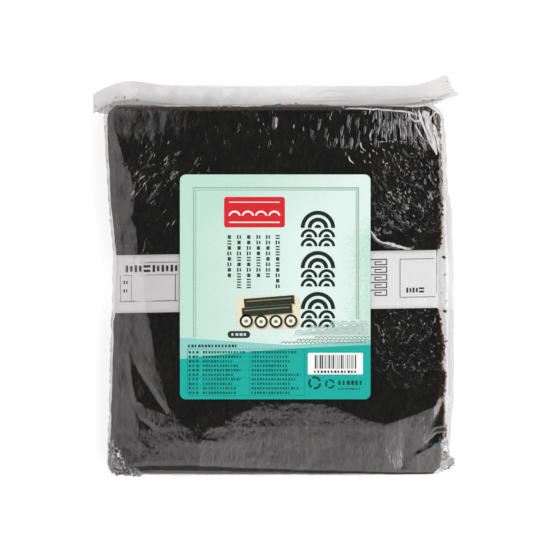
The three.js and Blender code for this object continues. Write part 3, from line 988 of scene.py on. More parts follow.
STACK_LEFT = ((-110, -93.2), (-73, -92.2), (-27, -90.9), (12, -89.5), (46, -92.6), (92, -95.0))
STACK_RIGHT = ((-108, 94.0), (-87, 96.0), (-70, 94.6), (-57, 95.9), (-50, 94.2), (-39, 94.9), (-20, 91.9),
               (13, 91.9), (21, 93.2), (44, 94.0), (72, 93.0), (92, 92.0))
STACK_LOW, STACK_TOP = -111.6, 97.0
STACK_END = 97.9  # no sheet reaches farther, for the film closes there
STACK_CORNER = 5.5
STACK_BASE = 0.9  # the lowest sheet above the surface
SHEET_SIZE = (186, 206)
RIM_ACROSS, RIM_ALONG = 46, 60  # steps along a sheet's rim
UPPER_SHEETS_FROM = 0.88  # from here up the sheets have an inner grid, to follow the film's folds
SHEET_COLUMNS, SHEET_ROWS = 46, 58
SHEET_SHARE = 0.72  # how much of its room in the stack a sheet fills
ASKEW = 0.45  # how far a sheet may lie off its place
TOP_COLUMNS, TOP_ROWS = 150, 165
TOP_THICKNESS = 0.18


def top_line(x):
    """The sheets' upper edge, which isn't quite straight."""
    return STACK_TOP + 0.7 * np.sin(x / 17 + 0.6) + 0.4 * np.sin(x / 7.3) + 0.4 * noise(x / 4.1, 0.5, 99)


def sheet_edges(y, corner=STACK_CORNER):
    """A sheet's left and right edge at y, with its round corners. The upper left one is rubbed rounder."""
    draw = round_off(corner, np.maximum(y - (STACK_TOP - corner), STACK_LOW + corner - y))
    rubbed = 0.75 * round_off(2 * corner, y - (STACK_TOP + 1 - 2 * corner))
    return along(STACK_LEFT, y) + np.maximum(draw, rubbed), along(STACK_RIGHT, y) - draw


def sheet_place(u, v, corner=STACK_CORNER):
    """A place on a sheet, from its shares across and along it."""
    y = lerp(STACK_LOW, STACK_TOP, v)
    left, right = sheet_edges(y, corner)
    x = lerp(left, right, u)
    return x, y + (top_line(x) - STACK_TOP) * smooth(0.9, 1.0, v)


def rim_shares():
    """A sheet's rim, as shares across and along it, once round it against the clock, from the middle of
    its right side."""
    a, b = np.arange(RIM_ACROSS) / RIM_ACROSS, np.arange(RIM_ALONG) / RIM_ALONG
    zero_a, zero_b = np.zeros(RIM_ACROSS), np.zeros(RIM_ALONG)
    u, v = np.concatenate((a, zero_b + 1, 1 - a, zero_b)), np.concatenate((zero_a, b, zero_a + 1, 1 - b))
    start = RIM_ACROSS + RIM_ALONG // 2
    return np.roll(u, -start), np.roll(v, -start)


def add_outline(name, x, y, z):
    """A face with this outline, which is given against the clock."""
    clear_selection()
    bpy.ops.mesh.primitive_circle_add(vertices=len(x), radius=1, fill_type="NGON")
    plate = bpy.context.object
    plate.name = plate.data.name = name
    round_it = np.argsort(np.arctan2(*places(plate)[1::-1]) % (2 * math.pi))
    placed = np.empty((3, len(x)))
    placed[:, round_it] = x, y, z
    put(plate, *placed)
    return plate


def layer_height(x, y, share):
    """The height of the layer at this share of the stack. The layers thin out towards the falls."""
    return lerp(STACK_BASE, stack_height(x, y) - 0.45, share)


class NORI_OT_sheets(bpy.types.Operator):
    """Stack the sheets, each cut a little differently and laid a little askew"""

    bl_idname = "nori.sheets"
    bl_label = "Sheets"

    def execute(self, context):
        settings = context.scene.nori_sheets
        draw = random.Random(7)
        sheets = []
        for number in range(settings.count - 1):
            share = (number + 0.5) / settings.count
            if share < UPPER_SHEETS_FROM:
                sheets.append(add_outline("sheet", *self.laid(*rim_shares(), share, number, settings, draw)))
            else:
                sheet, u, v = add_grid("sheet", SHEET_COLUMNS, SHEET_ROWS)
                put(sheet, *self.laid(u, v, share, number, settings, draw))
                sheets.append(sheet)
        stack = join("sheet_stack", sheets)
        pitch = (BAG_HIGH[2] / MM - SHEET_GAP) / settings.count
        apply_modifier(stack, "SOLIDIFY", thickness=SHEET_SHARE * pitch * MM, offset=0.0)
        finish(stack, "sheet_stack", dried_laver("dried laver, cut edges", "edge", 0.6),
               replaces="bag", smooth_angle=30)
        return {"FINISHED"}

    def laid(self, u, v, share, number, settings, draw):
        """The places of one sheet's vertices. Its rim strays from straight, and the band holds it in."""
        x, y = sheet_place(u, v, STACK_CORNER * draw.uniform(0.7, 1.5))
        across, lengthwise = u * SHEET_SIZE[0], v * SHEET_SIZE[1]
        stray_x = noise(lengthwise / 9, number * 3.7, 91) + 0.7 * noise(lengthwise / 4.1, number * 5.3, 92)
        stray_y = noise(across / 9, number * 3.1, 93) + 0.7 * noise(across / 4.1, number * 4.3, 94)
        ragged = settings.raggedness
        x = x + ragged * stray_x * np.clip(8 * np.abs(u - 0.5) - 3, 0, 1) + draw.uniform(-ASKEW, ASKEW)
        y = y + ragged * stray_y * np.clip(8 * np.abs(v - 0.5) - 3, 0, 1) + draw.uniform(-ASKEW, ASKEW)
        y = np.minimum(y, STACK_END)
        left, right = sheet_edges(y)
        tied = np.abs(y - BAND_MIDDLE - math.tan(BAND_TILT) * x) < BAND_WIDTH / 2 + 1.5
        x = np.where(tied, np.clip(x, left + 0.1, right + 0.4), x)
        film_left, film_right = bag_sides(y)
        x = np.clip(x, film_left + 0.25, film_right - 0.6)
        return x, y, layer_height(x, y, share)


class NORI_OT_top_sheet(bpy.types.Operator):
    """Lay the top sheet, the one that shows through the film"""

    bl_idname = "nori.top_sheet"
    bl_label = "Top sheet"

    def execute(self, context):
        settings = context.scene.nori_sheets
        sheet, u, v = add_grid("top", TOP_COLUMNS, TOP_ROWS)
        # It is a little smaller than the sheets below it.
        x, y = sheet_place(0.006 + 0.984 * u, 0.004 + 0.982 * v)
        from_side, from_end = np.minimum(u, 1 - u) * SHEET_SIZE[0], np.minimum(v, 1 - v) * SHEET_SIZE[1]
        rim = np.minimum(from_side, from_end)
        ragged = 1.1 * settings.raggedness * (noise(x / 5, y / 5, 95) + 0.7 * noise(x / 2.2, y / 2.2, 96))
        x = x + smooth(4, 0, rim) * ragged * np.where(u > 0.5, 1, -1) * smooth(6, 0, from_side)
        y = y + smooth(4, 0, rim) * ragged * np.where(v > 0.5, 1, -1) * smooth(6, 0, from_end)
        lumps = 0.16 * noise(x / 7, y / 9, 97) + 0.10 * noise(x / 2.6, y / 3.4, 98)
        put(sheet, x, y, stack_height(x, y) - 0.05 + lumps * smooth(0, 6, rim))
        apply_modifier(sheet, "SOLIDIFY", thickness=TOP_THICKNESS * MM, offset=-1.0)
        finish(sheet, "top_sheet", dried_laver("dried laver, top sheet", "top", 1.0), replaces="bag")
        return {"FINISHED"}


def scatter(name, spots, material):
    """Flakes or crumbs: small crushed lumps, one for each (x, y, z, size, flatness)."""
    draw = random.Random(len(spots))
    clear_selection()
    bpy.ops.mesh.primitive_ico_sphere_add(subdivisions=1, radius=1)
    lump = bpy.context.object
    shape = np.array(places(lump))
    triangles = np.array([tuple(p.vertices) for p in lump.data.polygons])
    all_places, all_faces = [], []
    for number, (*middle, size, flatness) in enumerate(spots):
        angle = draw.uniform(0, 2 * math.pi)
        tip = draw.uniform(-0.7, 0.7)
        bent = shape * np.array([[draw.uniform(0.6, 1.5)], [draw.uniform(0.5, 1.2)], [flatness]]) * size
        x, y, z = bent * (1 + 0.3 * np.array([draw.uniform(-1, 1) for _ in range(shape.shape[1])]))
        y, z = turned(y, z, tip)
        x, y = turned(x, y, angle)
        all_places.append(np.column_stack((x, y, z)) + middle)
        all_faces.append(triangles + number * shape.shape[1])
    mesh = bpy.data.meshes.new(name)
    mesh.from_pydata((np.concatenate(all_places) * MM).tolist(), [], np.concatenate(all_faces).tolist())
    lump.data = mesh
    return finish(lump, name, material, smooth_angle=20)


TOP_FLAKES, CORNER_FLAKES, GREEN_FLAKES = 260, 26, 14
FLAKE_FLATNESS = (0.25, 0.6)


class NORI_OT_flakes(bpy.types.Operator):
    """Crumble the stack's edges: brown flakes along the right and the upper edge, and a few green ones"""

    bl_idname = "nori.flakes"
    bl_label = "Rim flakes"

    def execute(self, context):
        draw = random.Random(17)
        spots = []
        for _ in range(context.scene.nori_sheets.flakes):
            y = draw.uniform(-104, 91)
            if abs(y - BAND_MIDDLE - 1.6) < BAND_WIDTH / 2 + 0.8:
                continue  # the band holds them in
            right = float(sheet_edges(np.array(y))[1])
            z = 0.8 + draw.random() ** 0.5 * (float(stack_height(right - 1.5, y)) - 2.0)
            out = draw.gauss(0.5, 0.5) + 0.5 * math.sin(y / 5.1) ** 2
            size, flatness = draw.uniform(0.25, 0.85), draw.uniform(*FLAKE_FLATNESS)
            spots.append((right + min(out, 2.0), y, z, size, flatness))
        for _ in range(TOP_FLAKES):
            x = draw.triangular(-92, 92, -60)
            y = float(top_line(np.array(x))) + draw.uniform(-0.5, 0.5)
            z = draw.uniform(0.6, 0.97) * float(stack_height(x, 95.0))
            spots.append((x, y, z, draw.uniform(0.25, 0.7), draw.uniform(*FLAKE_FLATNESS)))
        for _ in range(CORNER_FLAKES):
            x, y = draw.gauss(91.8, 0.9), draw.gauss(89.2, 1.5)
            z = float(stack_height(x, y)) + draw.uniform(-0.6, 0.3)
            spots.append((x, y, z, draw.uniform(0.5, 0.9), 0.5))
        scatter("rim_flakes", spots, dried_laver("dried laver, broken rim", "broken", 0.6))
        spots = []
        for _ in range(GREEN_FLAKES):
            x, y = draw.gauss(88.2, 0.7), draw.gauss(46.4, 0.8)
            spots.append((x, y, float(stack_height(x, y)) + 0.2, draw.uniform(0.3, 0.6), 0.3))
        scatter("green_flakes", spots, dried_laver("dried green laver", "green", 0.5))
        return {"FINISHED"}


# Crumbs beside the stack, as (x, y, z, size, flatness), and crumbs on the seal, as (x, y).
LARGE_CRUMBS = ((97.4, 11.3, 1.2, 1.2, 0.5), (97.8, -19.8, 1.2, 1.3, 0.5), (98.9, -36.9, 1.2, 0.9, 0.6))
SEAL_CRUMBS = (
    (-92.0, 99.6), (-90.6, 101.8), (-85.6, 101.2), (-84.9, 98.9), (-80.6, 100.4), (-78.4, 99.8),
    (-93.4, 97.4), (-88.2, 97.2), (85.0, 100.0), (87.0, 101.6), (90.2, 99.4), (98.6, 107.6),
)


class NORI_OT_crumbs(bpy.types.Operator):
    """Drop the loose crumbs that lie on the film beside the stack, and those caught in the seal"""

    bl_idname = "nori.crumbs"
    bl_label = "Loose crumbs"

    def execute(self, context):
        draw = random.Random(27)
        spots = list(LARGE_CRUMBS)
        for x, y in SEAL_CRUMBS:
            z = SEAL["z"] + float(seal_lift(x)) + 0.5
            spots.append((x, y + float(seal_bend(x)) * 0.6, z, draw.uniform(0.3, 0.65), 0.5))
        for _ in range(context.scene.nori_sheets.crumbs):
            y = draw.uniform(-105, 60)
            stack_right, film_right = (float(edges(np.array(y))[1]) for edges in (sheet_edges, bag_sides))
            x = draw.uniform(stack_right + 0.6, film_right - 1.8)
            spots.append((x, y, 0.9, draw.uniform(0.15, 0.45), draw.uniform(0.4, 0.7)))
        scatter("loose_crumbs", spots, dried_laver("dried laver, crumbs", "broken", 0.4))
        return {"FINISHED"}


# --- The paper band -------------------------------------------------------------------------------


def band_top(x, y):
    return stack_height(x, y) + BAND_GAP


def band_section(t, y):
    """A place on the band's loop, by its share of the way round: up the left, over, down the right, back."""
    left, right = sheet_edges(np.clip(y, -60, 60))
    left, right = left - 0.35, right + 0.9
    base = STACK_BASE - 0.35
    t_over, t_down, t_back = BAND_SIDE, BAND_SIDE + BAND_FACE, 2 * BAND_SIDE + BAND_FACE
    parts = [t < t_over, t < t_down, t < t_back]
    over = lerp(left, right, (t - t_over) / BAND_FACE)
    x = np.select(parts, [left, over, right], lerp(right, left, (t - t_back) / (1 - t_back)))
    high = band_top(np.clip(x, left + BAND_ROUND, right - BAND_ROUND), y)
    high = high - round_off(BAND_ROUND, BAND_ROUND - np.minimum(x - left, right - x), 0.999)
    left_top, right_top = (band_top(edge, y) - BAND_ROUND for edge in (left + BAND_ROUND, right - BAND_ROUND))
    up, down = lerp(base, left_top, t / BAND_SIDE), lerp(right_top, base, (t - t_down) / BAND_SIDE)
    return x, np.select(parts, [up, high, down], base)


class NORI_OT_band(bpy.types.Operator):
    """Tie the white paper band round the middle of the stack"""

    bl_idname = "nori.band"
    bl_label = "Paper band"

    def execute(self, context):
        band, u, v = add_grid("band", BAND_COLUMNS, BAND_ROWS)
        y = BAND_MIDDLE + BAND_WIDTH * (v - 0.5)
        x, z = band_section(u, y)
        put(band, x, y + math.tan(BAND_TILT) * x, z)
        edit(band, merging(0.01))
        apply_modifier(band, "SOLIDIFY", thickness=BAND_THICKNESS * MM, offset=0.0)
        mend(band, 0.001)
        finish(band, "paper_band", band_paper(), replaces="bag")
        return {"FINISHED"}


# --- Print ----------------------------------------------------------------------------------------

STICKER_CORNER = 3.4


def bow(cx, cy, radius, start=0, end=180, steps=10):
    """Points along a curve about a middle, from start to end in degrees."""
    turns = np.radians(np.linspace(start, end, steps))
    return [(cx + radius * math.cos(a), cy + radius * math.sin(a)) for a in turns]


def box(x0, y0, x1, y1, radius=0.0):
    """A rectangle's outline against the clock, with round corners if it has a radius."""
    if not radius:
        return [(x0, y0), (x1, y0), (x1, y1), (x0, y1)]
    middles = ((x1 - radius, y0 + radius), (x1 - radius, y1 - radius),
               (x0 + radius, y1 - radius), (x0 + radius, y0 + radius))
    return [point for turn, (cx, cy) in zip((-90, 0, 90, 180), middles)
            for point in bow(cx, cy, radius, turn, turn + 90, 6)]


def oval(cx, cy, rx, ry):
    return [(x, cy + (y - cy) * ry / rx) for x, y in bow(cx, cy, rx, 0, 351, 40)]


def arc(cx, cy, radius, width, start, end, steps=18):
    """A curved stroke."""
    outer, inner = (bow(cx, cy, radius + side * width / 2, start, end, steps) for side in (1, -1))
    return outer + inner[::-1]


def stroke(points, width):
    """A line with straight stretches and mitred bends."""
    sides = ([], [])
    for i, (x, y) in enumerate(points):
        before = np.subtract((x, y), points[max(i - 1, 0)])
        after = np.subtract(points[min(i + 1, len(points) - 1)], (x, y))
        before, after = (way / (np.hypot(*way) or 1) for way in (before, after))
        way = (before + after) / (np.hypot(*(before + after)) or 1)
        reach = width / 2 / max(np.dot(way, before if i else after), 0.4)
        for side, turn in zip(sides, (-1, 1)):
            side.append((x - turn * way[1] * reach, y + turn * way[0] * reach))
    return sides[0] + sides[1][::-1]


def curved_edge(points, steps=34):
    """Points along a field's curved upper edge, from right to left."""
    xs = np.linspace(points[-1][0], points[0][0], steps)
    return list(zip(xs, along(points, xs)))


def printed(name, outlines, level, height, material, surface=None):
    """Print: each outline becomes a thin closed plate, and all of them one piece. surface(x, y) is the
    height of a curved ground, and level that of the print above it, or above z = 0."""
    plates = []
    for outline in outlines:
        x, y = np.array(outline, float).T
        if np.sum(x * np.roll(y, -1) - y * np.roll(x, -1)) < 0:
            x, y = x[::-1], y[::-1]
        ground = np.zeros_like(x) if surface is None else surface(x, y)
        plates.append(add_outline(name, x, y, ground + level))
    piece = join(name, plates)
    edit(piece, OUTWARDS)
    apply_modifier(piece, "SOLIDIFY", thickness=height * MM, offset=0.0)
    return finish(piece, name, material, smooth_angle=30)


def dense(outline, step=3.0):
    """The same outline with more points, to follow a curved ground."""
    result = []
    for (ax, ay), (bx, by) in zip(outline, outline[1:] + outline[:1]):
        count = max(1, round(math.hypot(bx - ax, by - ay) / step))
        result += [(lerp(ax, bx, i / count), lerp(ay, by, i / count)) for i in range(count)]
    return result


def words(x, y, length, height, pitch, draw):
    """Stands in for a line of small type: a row of plain dashes."""
    bars, at = [], 0.0
    while at < length:
        wide = min(draw.uniform(0.55, 0.95) * pitch, length - at)
        bars.append(box(x + at, y, x + at + wide * 0.78, y + height))
        at += pitch
    return bars


# The plain blocks and pairs of bars that stand in for a column of small type, as corners from its middle.
SIGNS = (
    ((-1.15, -0.8, 1.15, 0), (-1.15, -2.3, 1.15, -1.5)),
    ((-0.95, -2.2, 0.95, -0.1),),
    ((-1.15, -2.3, -0.3, 0), (0.3, -2.1, 1.15, -0.2)),
)
SIGN_HEIGHT, SIGN_PITCH = 2.6, 3.1


def signs(x, top, length, draw, size=1.0):
    marks, at = [], 0.0
    while at + SIGN_HEIGHT <= length:
        for x0, y0, x1, y1 in SIGNS[draw.randrange(len(SIGNS))]:
            marks.append(box(x + size * x0, top - at + size * y0, x + size * x1, top - at + size * y1))
        at += SIGN_PITCH
    return marks


class NORI_OT_band_print(bpy.types.Operator):
    """Print the band: ruled boxes and dashes on the left, a fret and a box on the right"""

    bl_idname = "nori.band_print"
    bl_label = "Band print"

    def execute(self, context):
        draw = random.Random(37)
        lines = [stroke([(-88, y), (-55, y)], width)
                 for y, width in ((9.4, 0.34), (2.3, 0.28), (-12.5, 0.42))]
        lines += [stroke([(x, 2.3), (x, -12.5)], width)
                  for x, width in ((-87.4, 0.22), (-81.2, 0.24), (-56.2, 0.40))]
        lines.append(stroke([(90.6, 8.9), (71.2, 8.9), (71.2, -12.7), (91.2, -12.7)], 0.34))
        # Stands in for type, larger than on the sticker.
        for first, step, count, top, size in ((-82.5, 5.1, 6, 7.9, 1.7), (76.2, 3.6, 3, -7.3, 1.25)):
            for number in range(count):
                lines += signs(first + step * number, top, SIGN_HEIGHT, draw, size)
        lines += words(-85.8, -2.6, 3.0, 1.8, 1.6, draw) + words(-85.8, -7.4, 3.0, 1.8, 1.6, draw)
        # A fret of squares within squares, as old paper bands carry.
        fret = ((54.6, 0), (63.6, 0), (63.6, -3.0), (57.0, -3.0), (57.0, -1.4), (60.8, -1.4))
        lines += [stroke([(x, 9.0 - 4.35 * row + y) for x, y in fret], 0.55) for row in range(5)]
        lines = [[(x, y + math.tan(BAND_TILT) * x) for x, y in dense(line)] for line in lines]
        printed("band_print", lines, 0.12, 0.04, ink("black band ink", "#3b3938"), band_top)
        return {"FINISHED"}


def wave_block(x, foot, radius, width):
    """Wave scales, an old sea pattern: one large scale over two rows of smaller ones, each of nested arcs."""
    half = radius / 2
    top = (x, foot + 2.12 * half)
    outlines = [arc(*top, share * radius - width / 2, width, 0, 180) for share in (1, 0.60)]
    outlines.append(bow(*top, 0.20 * radius))
    for row in range(2):
        for side in (-1, 1):
            middle = (x + side * half * 1.02, foot + 1.04 * half * row)
            outlines.append(arc(*middle, half * 0.98 - width * 0.36, width * 0.72, 0, 180, 12))
            outlines.append(bow(*middle, 0.38 * half))
    return outlines


def scallops(rows, right, pitch, radii, width):
    """Rows of small arcs, as (y, the first one's x), up to the right end."""
    return [arc(x, y, radius, width, 6, 174) for y, first in rows for x in np.arange(first, right, pitch)
            for radius in radii]


def broken_ring(x, y, radius, width, start):
    return [arc(x, y, radius, width, turn, turn + 95) for turn in (start, start + 120, start + 240)]


class NORI_OT_sticker(bpy.types.Operator):
    """Print the sticker's ground and its fields of colour"""

    bl_idname = "nori.sticker"
    bl_label = "Sticker"

    def execute(self, context):
        settings = context.scene.nori_sticker
        sticker = bpy.data.objects["sticker"]
        sticker.data.materials.clear()
        sticker.data.materials.append(sticker_paper(settings))
        step = settings.print_height / MM
        face = STICKER_HIGH[2] / MM + 0.02

        # number is the layer's place above the sticker: 0 lies on it, 1 on a layer 0, and so on.
        def layer(name, outlines, number, colour, other=None):
            level = face + number * step
            printed(name, outlines, level, step * 0.8, ink(f"{name} ink", colour, other))

        draw = random.Random(47)
        self.ground(layer)
        self.title(layer, draw)
        self.picture(layer)
        self.shore(layer)
        self.details(layer, draw)
        return {"FINISHED"}

    def ground(self, layer):
        """The teal foot with its light border, and the ruled frame."""
        left, right, low = STICKER_LOW[0] / MM, STICKER_HIGH[0] / MM, STICKER_LOW[1] / MM
        light_top = ((left, -34.4), (-13, -37.2), (8, -38.6), (right, -36.0))
        layer("print_light_teal", [[(left, -47.5), (right, -47.5), *curved_edge(light_top)]], 0, "#7fbab2")
        r = STICKER_CORNER
        foot = bow(left + r, low + r, r, 180, 270, 6) + bow(right - r, low + r, r, 270, 360, 6)
        teal_top = ((left, -46.6), (-15, -42.3), (17, -40.2), (right, -38.4))
        layer("print_teal", [foot + curved_edge(teal_top)], 1, "#0a988d", "#11a095")
        wide, outer, inner = ([(x0, low_y), (x0, y), (x1, y), (x1, -24.0)] for x0, x1, y, low_y in (
            (-45.25, 46.95, 49.95, -34.2), (-45.9, 47.6, 50.6, -34.3), (-44.6, 46.3, 49.3, -34.3)))
        layer("print_frame_ground", [stroke(wide, 1.3)], 0, "#a7c2b7", "#b5cdc3")
        layer("print_frame", [stroke(outer, 0.45), stroke(inner, 0.3)], 1, "#6c8c81", "#86a499")

    def title(self, layer, draw):
        """The banner, the three wave scales and the columns of small type."""
        layer("print_banner", [box(-28.6, 28.1, 5.9, 45.4, 1.6)], 0, "#c01825", "#c8212f")
        crests = [arc(-22.6 + 7.5 * i, 34.0, 3.1, 1.0, 15, 165) for i in range(4)]
        crests += [stroke([(-25.6, y), (3.0, y)], width) for y, width in ((31.0, 0.7), (42.4, 0.5))]
        layer("print_cream", crests, 1, "#e6dfcd")
        waves = [shape for foot in (17.4, -5.4, -28.6) for shape in wave_block(24.6, foot, 9.8, 2.3)]
        layer("print_title", waves, 0, "#0f1b1a", "#152523")
        columns = ((-25.6, 27.2), (-20.1, 33.4), (-14.6, 33.5), (-9.1, 27.0), (-3.7, 27.0), (1.8, 31.2))
        text = [mark for x, length in columns for mark in signs(x, 23.8, length, draw)]
        layer("print_small_type", text, 0, "#203733", "#314c46")

    def picture(self, layer):
        """A board with two whole rolls and a row of cut ones, and a badge below it."""
        cut = ((-16.0, -25.0), (-7.6, -25.3), (0.8, -25.2), (9.2, -24.9))
        whole = ((-3.8, -19.0), (-2.6, -13.8))
        rolls = [stroke([(x - 14.6, y - 1.1), (x + 13.8, y + 1.1)], 5.0) for x, y in whole]
        shadows = [[(x + 0.5, y - 0.8) for x, y in roll] for roll in rolls]
        shadows += [oval(x + 0.5, y - 0.8, 3.9, 3.7) for x, y in cut]
        shine = [stroke([(x - 13.4, y - 0.1), (x + 12.4, y + 1.9)], 0.6) for x, y in whole]
        layer("print_board", [box(-21.4, -29.6, 14.6, -10.6, 3.2)], 0, "#c9c1a8", "#d9d2bb")
        layer("print_roll_shadows", shadows, 1, "#a59d84", "#b3ab93")
        layer("print_rolls", rolls + [oval(x, y, 3.8, 3.8) for x, y in cut], 2, "#1b2116", "#2f3626")
        layer("print_roll_shine", shine, 3, "#6a6f58", "#83876f")
        layer("print_rice", [oval(x, y, 2.5, 2.5) for x, y in cut], 3, "#d5d2c4", "#e4e1d5")
        layer("print_fillings", [oval(x, y, 1.1, 1.0) for x, y in cut], 4, "#59703a", "#708650")
        layer("print_badge", [box(-26.6, -34.6, -13.8, -30.6, 1.9)], 0, "#26312e")
        layer("print_badge_line", words(-24.4, -33.3, 8.6, 1.4, 2.3, random.Random(67)), 1, "#b9c9c4")

    def shore(self, layer):
        """Rows of scallops, in the common wave pattern, that get smaller towards the foot."""
        wedge = [(9.4, -33.2), (53.6, -33.2), (53.6, -25.8), (34.0, -29.0)]
        layer("print_grey_field", [wedge], 0, "#a4bab3", "#b7cbc4")
        large = scallops(((-32.6, 14.2), (-30.1, 22.2), (-27.6, 34.2)), 51.4, 5.2, (2.5, 1.3), 0.5)
        layer("print_scallops", large, 1, "#8ba39c", "#9db4ad")
        small = scallops(((-37.9, 5.0), (-36.4, 14.0), (-34.9, 24.0)), 53.0, 2.4, (1.15,), 0.4)
        layer("print_small_scallops", small, 2, "#557069", "#6f8a84")

    def details(self, layer, draw):
        """The ruled table, the white code box and the plain marks at the foot."""
        left, middle, right, top, low = -49.3, -14.2, 16.9, -40.8, -67.2
        lines = [stroke([(left, y), (right, y)], 0.16) for y in (top, low)]
        lines += [stroke([(x, top), (x, low)], 0.16) for x in (left, middle, right)]
        lines += [stroke([(left, y), (middle, y)], 0.12) for y in (-45.2, -48.2, -52.6, -57.0, -61.6)]
        for y in np.arange(-43.4, -66.8, -2.55):
            lines += words(-48.6, y, 6.4, 1.45, 2.1, draw)
            lines += words(-40.6, y, draw.uniform(16, 25), 1.45, 1.6, draw)
            lines += words(-13.0, y, draw.uniform(20, 28), 1.45, 1.6, draw)
        layer("print_table", lines, 2, "#04403b", "#085f57")
        layer("print_line", words(-49.0, -39.9, 28, 1.6, 1.9, draw), 2, "#16403c")
        layer("print_code_box", [box(18.9, -55.2, 50.1, -43.0, 0.5)], 2, "#dfe1df")
        code, x = [], 22.8
        while x < 46.2:
            wide = draw.choice((0.25, 0.25, 0.5, 0.75))
            code.append(box(x, -52.0, x + wide, -44.2))
            x += wide + draw.choice((0.3, 0.3, 0.55, 0.8))
        code += words(22.4, -54.4, 24.0, 1.4, 1.9, draw)
        layer("print_code", code, 3, "#24292a")
        marks = broken_ring(22.8, -60.0, 3.1, 1.25, 20) + broken_ring(31.4, -60.6, 2.2, 1.0, 10)
        marks += words(36.2, -61.2, 14.4, 2.5, 2.4, draw) + words(36.2, -63.8, 13.0, 0.8, 1.3, draw)
        layer("print_marks", marks, 2, "#0c3f3b")


# --- Stage ----------------------------------------------------------------------------------------

PICTURE_MIDDLE = (0.28, 1.13)  # what the camera looks at
FLOOR_SIZE = 8000
FLOOR_GAP = 0.3  # below the pack, so that the two don't touch


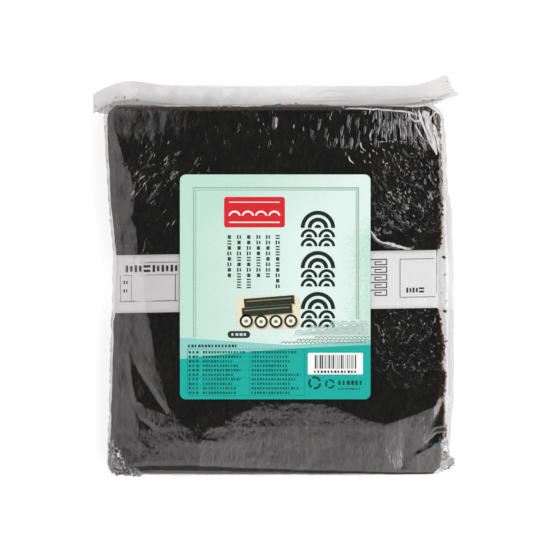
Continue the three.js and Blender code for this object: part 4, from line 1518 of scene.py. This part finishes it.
class NORI_OT_stage(bpy.types.Operator):
    """Set the floor, the light tent and the camera, which looks straight down on the pack"""

    bl_idname = "nori.stage"
    bl_label = "Stage"

    def execute(self, context):
        settings = context.scene.nori_stage
        self.floor()
        self.tent(context.scene, settings.brightness)
        self.camera(context.scene, settings)
        context.scene.view_settings.view_transform = "Standard"
        return {"FINISHED"}

    def floor(self):
        clear_selection()
        bpy.ops.mesh.primitive_plane_add(size=FLOOR_SIZE * MM, location=(0, 0, -FLOOR_GAP * MM))
        floor = bpy.context.object
        floor.name = "floor"
        material, add, where = new_material("white acrylic, lit from below")
        cloud = add("TexNoise", Vector=where, Scale=per_mm(60.0))
        tint = add("ValToRGB", cloud, stops=((0.0, "#b4b4b4"), (1.0, "#b8b8b8")))
        add("OutputMaterial", add("BsdfPrincipled", Base_Color=tint, Roughness=0.9, Specular_IOR_Level=0.1,
                                  Emission_Color=(1, 1, 1, 1), Emission_Strength=0.62))
        floor.data.materials.append(material)

    def tent(self, scene, brightness):
        """A white tent, dark overhead where the camera stands and dim behind the seal, with a large lamp
        on the right. Its wall starts close to the opening on the left and at the folded end."""
        world = bpy.data.worlds.new("light tent")
        world.use_nodes = True
        scene.world = world
        world.node_tree.nodes.clear()
        add = functools.partial(add_node, world.node_tree)
        way = add("TexCoord", output="Generated")
        x, y, z = (add("SeparateXYZ", way, output=axis) for axis in "XYZ")
        left, below = (add("Math", part, -1.0, operation="MULTIPLY") for part in (x, y))
        outwards = add("Math", left, below, operation="MAXIMUM")
        lean = add("VectorMath", add("CombineXYZ", left, below), operation="LENGTH", output="Value")
        beside = add("Math", add("Math", y, 0.10, operation="SUBTRACT"), operation="ABSOLUTE")
        # Soft steps from 0 to 1 over parts of the sky, by the way's lean.
        steps = [add("MapRange", part, From_Min=low, From_Max=high, interpolation_type="SMOOTHSTEP")
                 for part, low, high in (
                     (outwards, 0.10, 0.24), (lean, 0.12, 0.44), (below, 0.66, 0.82), (x, 0.42, 0.85),
                     (y, 0.5, 0.9), (x, 0.24, 0.32), (x, 0.80, 0.66), (beside, 0.55, 0.42), (z, 0.0, 0.1))]
        wall, wall_up, wall_foot, right_wall, seal_wall, *lamp_sides = steps
        aslant = add("Clamp", x, -0.12, 0.30)
        for part, amount, rest in ((wall_up, 0.70, 0.84), (aslant, 1.3, 1.0), (wall_foot, -0.8, 1.0)):
            share = add("Math", part, amount, rest, operation="MULTIPLY_ADD")
            wall = add("Math", wall, share, operation="MULTIPLY")
        for part, amount in ((right_wall, 0.8), (seal_wall, 0.45)):
            wall = add("Math", wall, add("Math", part, amount, operation="MULTIPLY"), operation="MAXIMUM")
        lamp = lamp_sides[0]
        for side in lamp_sides[1:]:
            lamp = add("Math", lamp, side, operation="MULTIPLY")
        light = add("Math", wall, brightness, 0.02, operation="MULTIPLY_ADD")
        light = add("Math", lamp, 2.7, light, operation="MULTIPLY_ADD")
        # The camera sees plain white behind the floor.
        light = add("Math", light, add("LightPath", output="Is Camera Ray"), operation="MAXIMUM")
        add("OutputWorld", add("Background", (1, 1, 1, 1), light))

    def camera(self, scene, settings):
        x, y = PICTURE_MIDDLE
        height = BAG_HIGH[2] + settings.view_distance
        bpy.ops.object.camera_add(location=(x * MM, y * MM, height), rotation=(0, 0, 0))
        camera = bpy.context.object
        camera.data.lens = camera.data.sensor_width * settings.view_distance / settings.view_width
        camera.data.clip_end = 20
        scene.camera = camera


class NORI_PT_pack(bpy.types.Panel):
    """Lists the pack's pieces and their settings"""

    bl_idname = "NORI_PT_pack"
    bl_label = "Nori pack"
    bl_space_type = "VIEW_3D"
    bl_region_type = "UI"
    bl_category = "Nori pack"

    def draw(self, context):
        for group in (context.scene.nori_sheets, context.scene.nori_sticker, context.scene.nori_stage):
            for key in group.__annotations__:
                self.layout.prop(group, key)
        for operator in OPERATORS:
            self.layout.operator(operator.bl_idname)


OPERATORS = (
    NORI_OT_stage, NORI_OT_film, NORI_OT_seal, NORI_OT_ridges, NORI_OT_corner_folds, NORI_OT_sheets,
    NORI_OT_top_sheet, NORI_OT_flakes, NORI_OT_crumbs, NORI_OT_band, NORI_OT_band_print, NORI_OT_sticker,
)
CLASSES = (NoriSheetSettings, NoriStickerSettings, NoriStageSettings, *OPERATORS, NORI_PT_pack)


def register():
    for cls in CLASSES:
        bpy.utils.register_class(cls)
    bpy.types.Scene.nori_sheets = bpy.props.PointerProperty(type=NoriSheetSettings)
    bpy.types.Scene.nori_sticker = bpy.props.PointerProperty(type=NoriStickerSettings)
    bpy.types.Scene.nori_stage = bpy.props.PointerProperty(type=NoriStageSettings)


def unregister():
    for name in ("nori_sheets", "nori_sticker", "nori_stage"):
        delattr(bpy.types.Scene, name)
    for cls in reversed(CLASSES):
        bpy.utils.unregister_class(cls)


def main():
    register()
    for operator in OPERATORS:
        group, name = operator.bl_idname.split(".")
        getattr(getattr(bpy.ops, group), name)()


if __name__ == "__main__":
    main()
